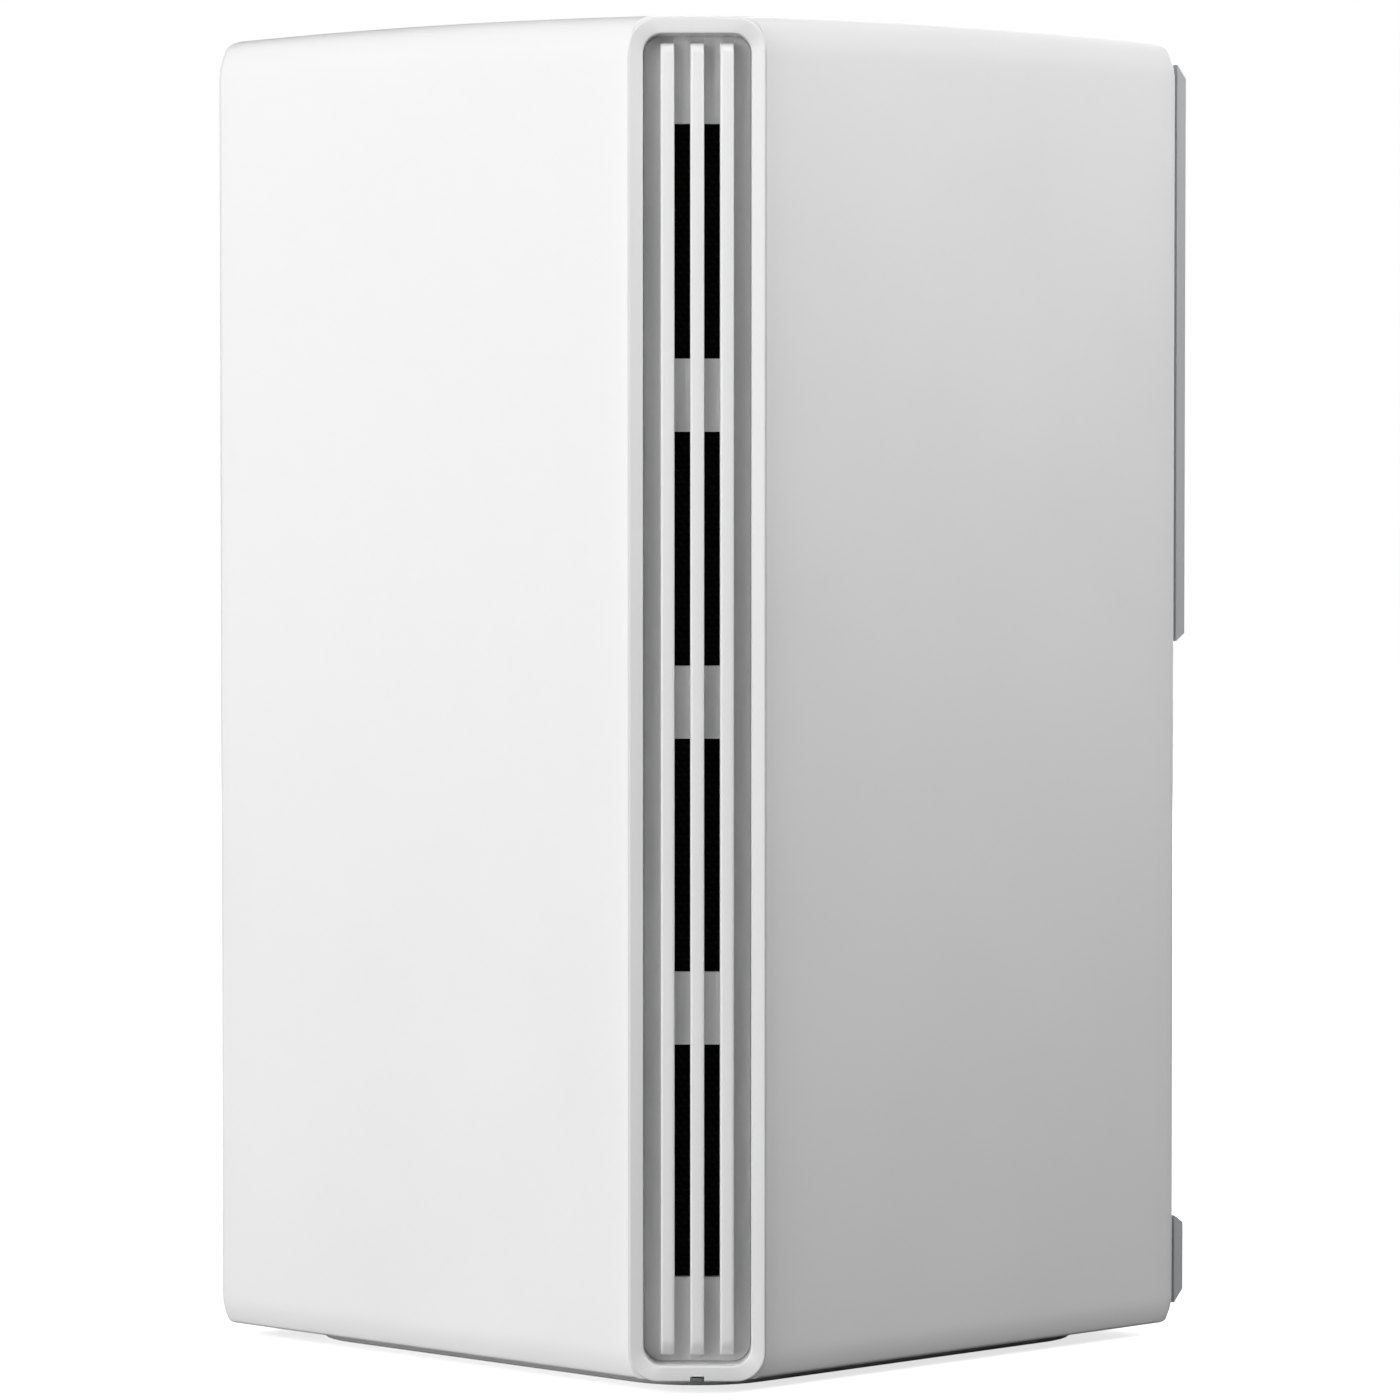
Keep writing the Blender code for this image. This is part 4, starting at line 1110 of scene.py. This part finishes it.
def pale_floor():
    """Large square sheet at the height of the foot's underside."""
    bm = bmesh.new()
    bmesh.ops.create_grid(bm, x_segments=8, y_segments=8, size=FLOOR_REACH)
    bmesh.ops.translate(bm, vec=(0.0, 0.0, DESIGN_BOX[0].z), verts=bm.verts)
    mesh = bpy.data.meshes.new("studio_floor")
    bm.to_mesh(mesh)
    bm.free()
    floor = bpy.data.objects.new("studio_floor", mesh)
    bpy.context.scene.collection.objects.link(floor)
    material, tree, shader, position = new_finish("studio_paper", Roughness=0.9)
    shader.inputs["Emission Color"].default_value = (1.0, 1.0, 1.0, 1.0)
    path = add(tree, "ShaderNodeLightPath")
    seen = path.outputs["Is Camera Ray"]
    away = add(tree, "ShaderNodeVectorMath", operation="LENGTH")
    tree.links.new(position, away.inputs[0])
    # painted shade: the paper's glow for the camera is dimmer near the router than far off
    glow = remap(tree, away.outputs["Value"], NEAR_FLOOR, FAR_FLOOR, NEAR_GLOW, FAR_GLOW)
    tree.links.new(maths(tree, "MULTIPLY", glow, seen), shader.inputs["Emission Strength"])
    paper = noise(tree, position, 300.0, 3.0, 0.6)
    share = remap(tree, seen, 0.0, 1.0, PAPER_GIVEN, PAPER_SEEN)
    tone = maths(tree, "MULTIPLY", share, remap(tree, paper, 0.3, 0.7, 0.98, 1.0))
    mixed = add(tree, "ShaderNodeCombineColor")
    for label in ("Red", "Green", "Blue"):
        tree.links.new(tone, mixed.inputs[label])
    tree.links.new(mixed.outputs["Color"], shader.inputs["Base Color"])
    wear_finish(floor, material)


def background(seen, given):
    """World that looks bright to the camera, and lights softly."""
    world = bpy.data.worlds.new("studio")
    bpy.context.scene.world = world
    world.use_nodes = True
    tree = world.node_tree
    path = add(tree, "ShaderNodeLightPath")
    strength = remap(tree, path.outputs["Is Camera Ray"], 0.0, 1.0, given, seen)
    tree.links.new(strength, tree.nodes["Background"].inputs["Strength"])
    tree.nodes["Background"].inputs["Color"].default_value = (1.0, 1.0, 1.0, 1.0)


pale_floor()
background(SEEN_LIGHT, GIVEN_LIGHT)


def softbox(name, azimuth, elevation, distance, size, watts):
    """Square area light that looks at the router's middle. Azimuth 0 is in front of the left
    face, and 90 in front of the right face."""
    a, e = radians(azimuth), radians(elevation)
    aim = Vector((MIDDLE.x, MIDDLE.y, MID_HEIGHT))
    way = Vector((np.sin(a) * np.cos(e), -np.cos(a) * np.cos(e), np.sin(e)))
    lamp = bpy.data.lights.new(name, "AREA")
    lamp.shape = "SQUARE"
    lamp.size = size
    lamp.energy = watts
    light = bpy.data.objects.new(name, lamp)
    light.location = aim + way * distance
    light.rotation_mode = "QUATERNION"
    light.rotation_quaternion = way.to_track_quat("Z", "Y")
    bpy.context.scene.collection.objects.link(light)


# azimuth and elevation in degrees, distance and size in metres, power in watts
LIGHTS = {
    "far_left": (-45.0, 5.0, 1.3, 0.9, 6.6),
    "left": (-25.0, 15.0, 1.3, 0.9, 3.2),
    "front_left": (10.0, 5.0, 1.3, 0.9, 8.4),
    "front_upper": (0.0, 35.0, 1.3, 0.65, 3.2),
    "strip": (28.0, 10.0, 1.3, 0.4, 1.1),
    "right_upper": (96.0, 38.0, 0.38, 0.28, 0.92),
    "behind": (200.0, 18.0, 1.3, 0.9, 13.0),
}
for name, (azimuth, elevation, distance, size, watts) in LIGHTS.items():
    softbox(name, azimuth, elevation, distance, size, watts)
print(len(LIGHTS), "lights")

# %% [markdown]
# ## Camera
#
# The camera stands on the diagonal, in line with the strip, a little under a metre from the
# casing's middle line. It looks down by two degrees only, so upright edges stay all but upright
# and the picture needs no upward or downward lens shift.

# %% Camera
CAMERA_REACH = 0.9753
CAMERA_HEIGHT = 0.12863
AIM_HEIGHT = 0.0896
LENS = 178.4
SENSOR = 36.0
SIDEWAYS_SHIFT = 0.002


def aimed_camera():
    """Camera on the diagonal, a little above mid height, aimed at the casing's axis."""
    optics = bpy.data.cameras.new("camera")
    optics.lens = LENS
    optics.sensor_width = SENSOR
    optics.shift_x = SIDEWAYS_SHIFT
    camera = bpy.data.objects.new("camera", optics)
    camera.location = Vector((MIDDLE.x, MIDDLE.y, CAMERA_HEIGHT)) + OUT * CAMERA_REACH
    away = camera.location - Vector((MIDDLE.x, MIDDLE.y, AIM_HEIGHT))
    camera.rotation_mode = "QUATERNION"
    camera.rotation_quaternion = away.to_track_quat("Z", "Y")
    bpy.context.scene.collection.objects.link(camera)
    bpy.context.scene.camera = camera


aimed_camera()
bpy.context.scene.view_settings.view_transform = "Standard"
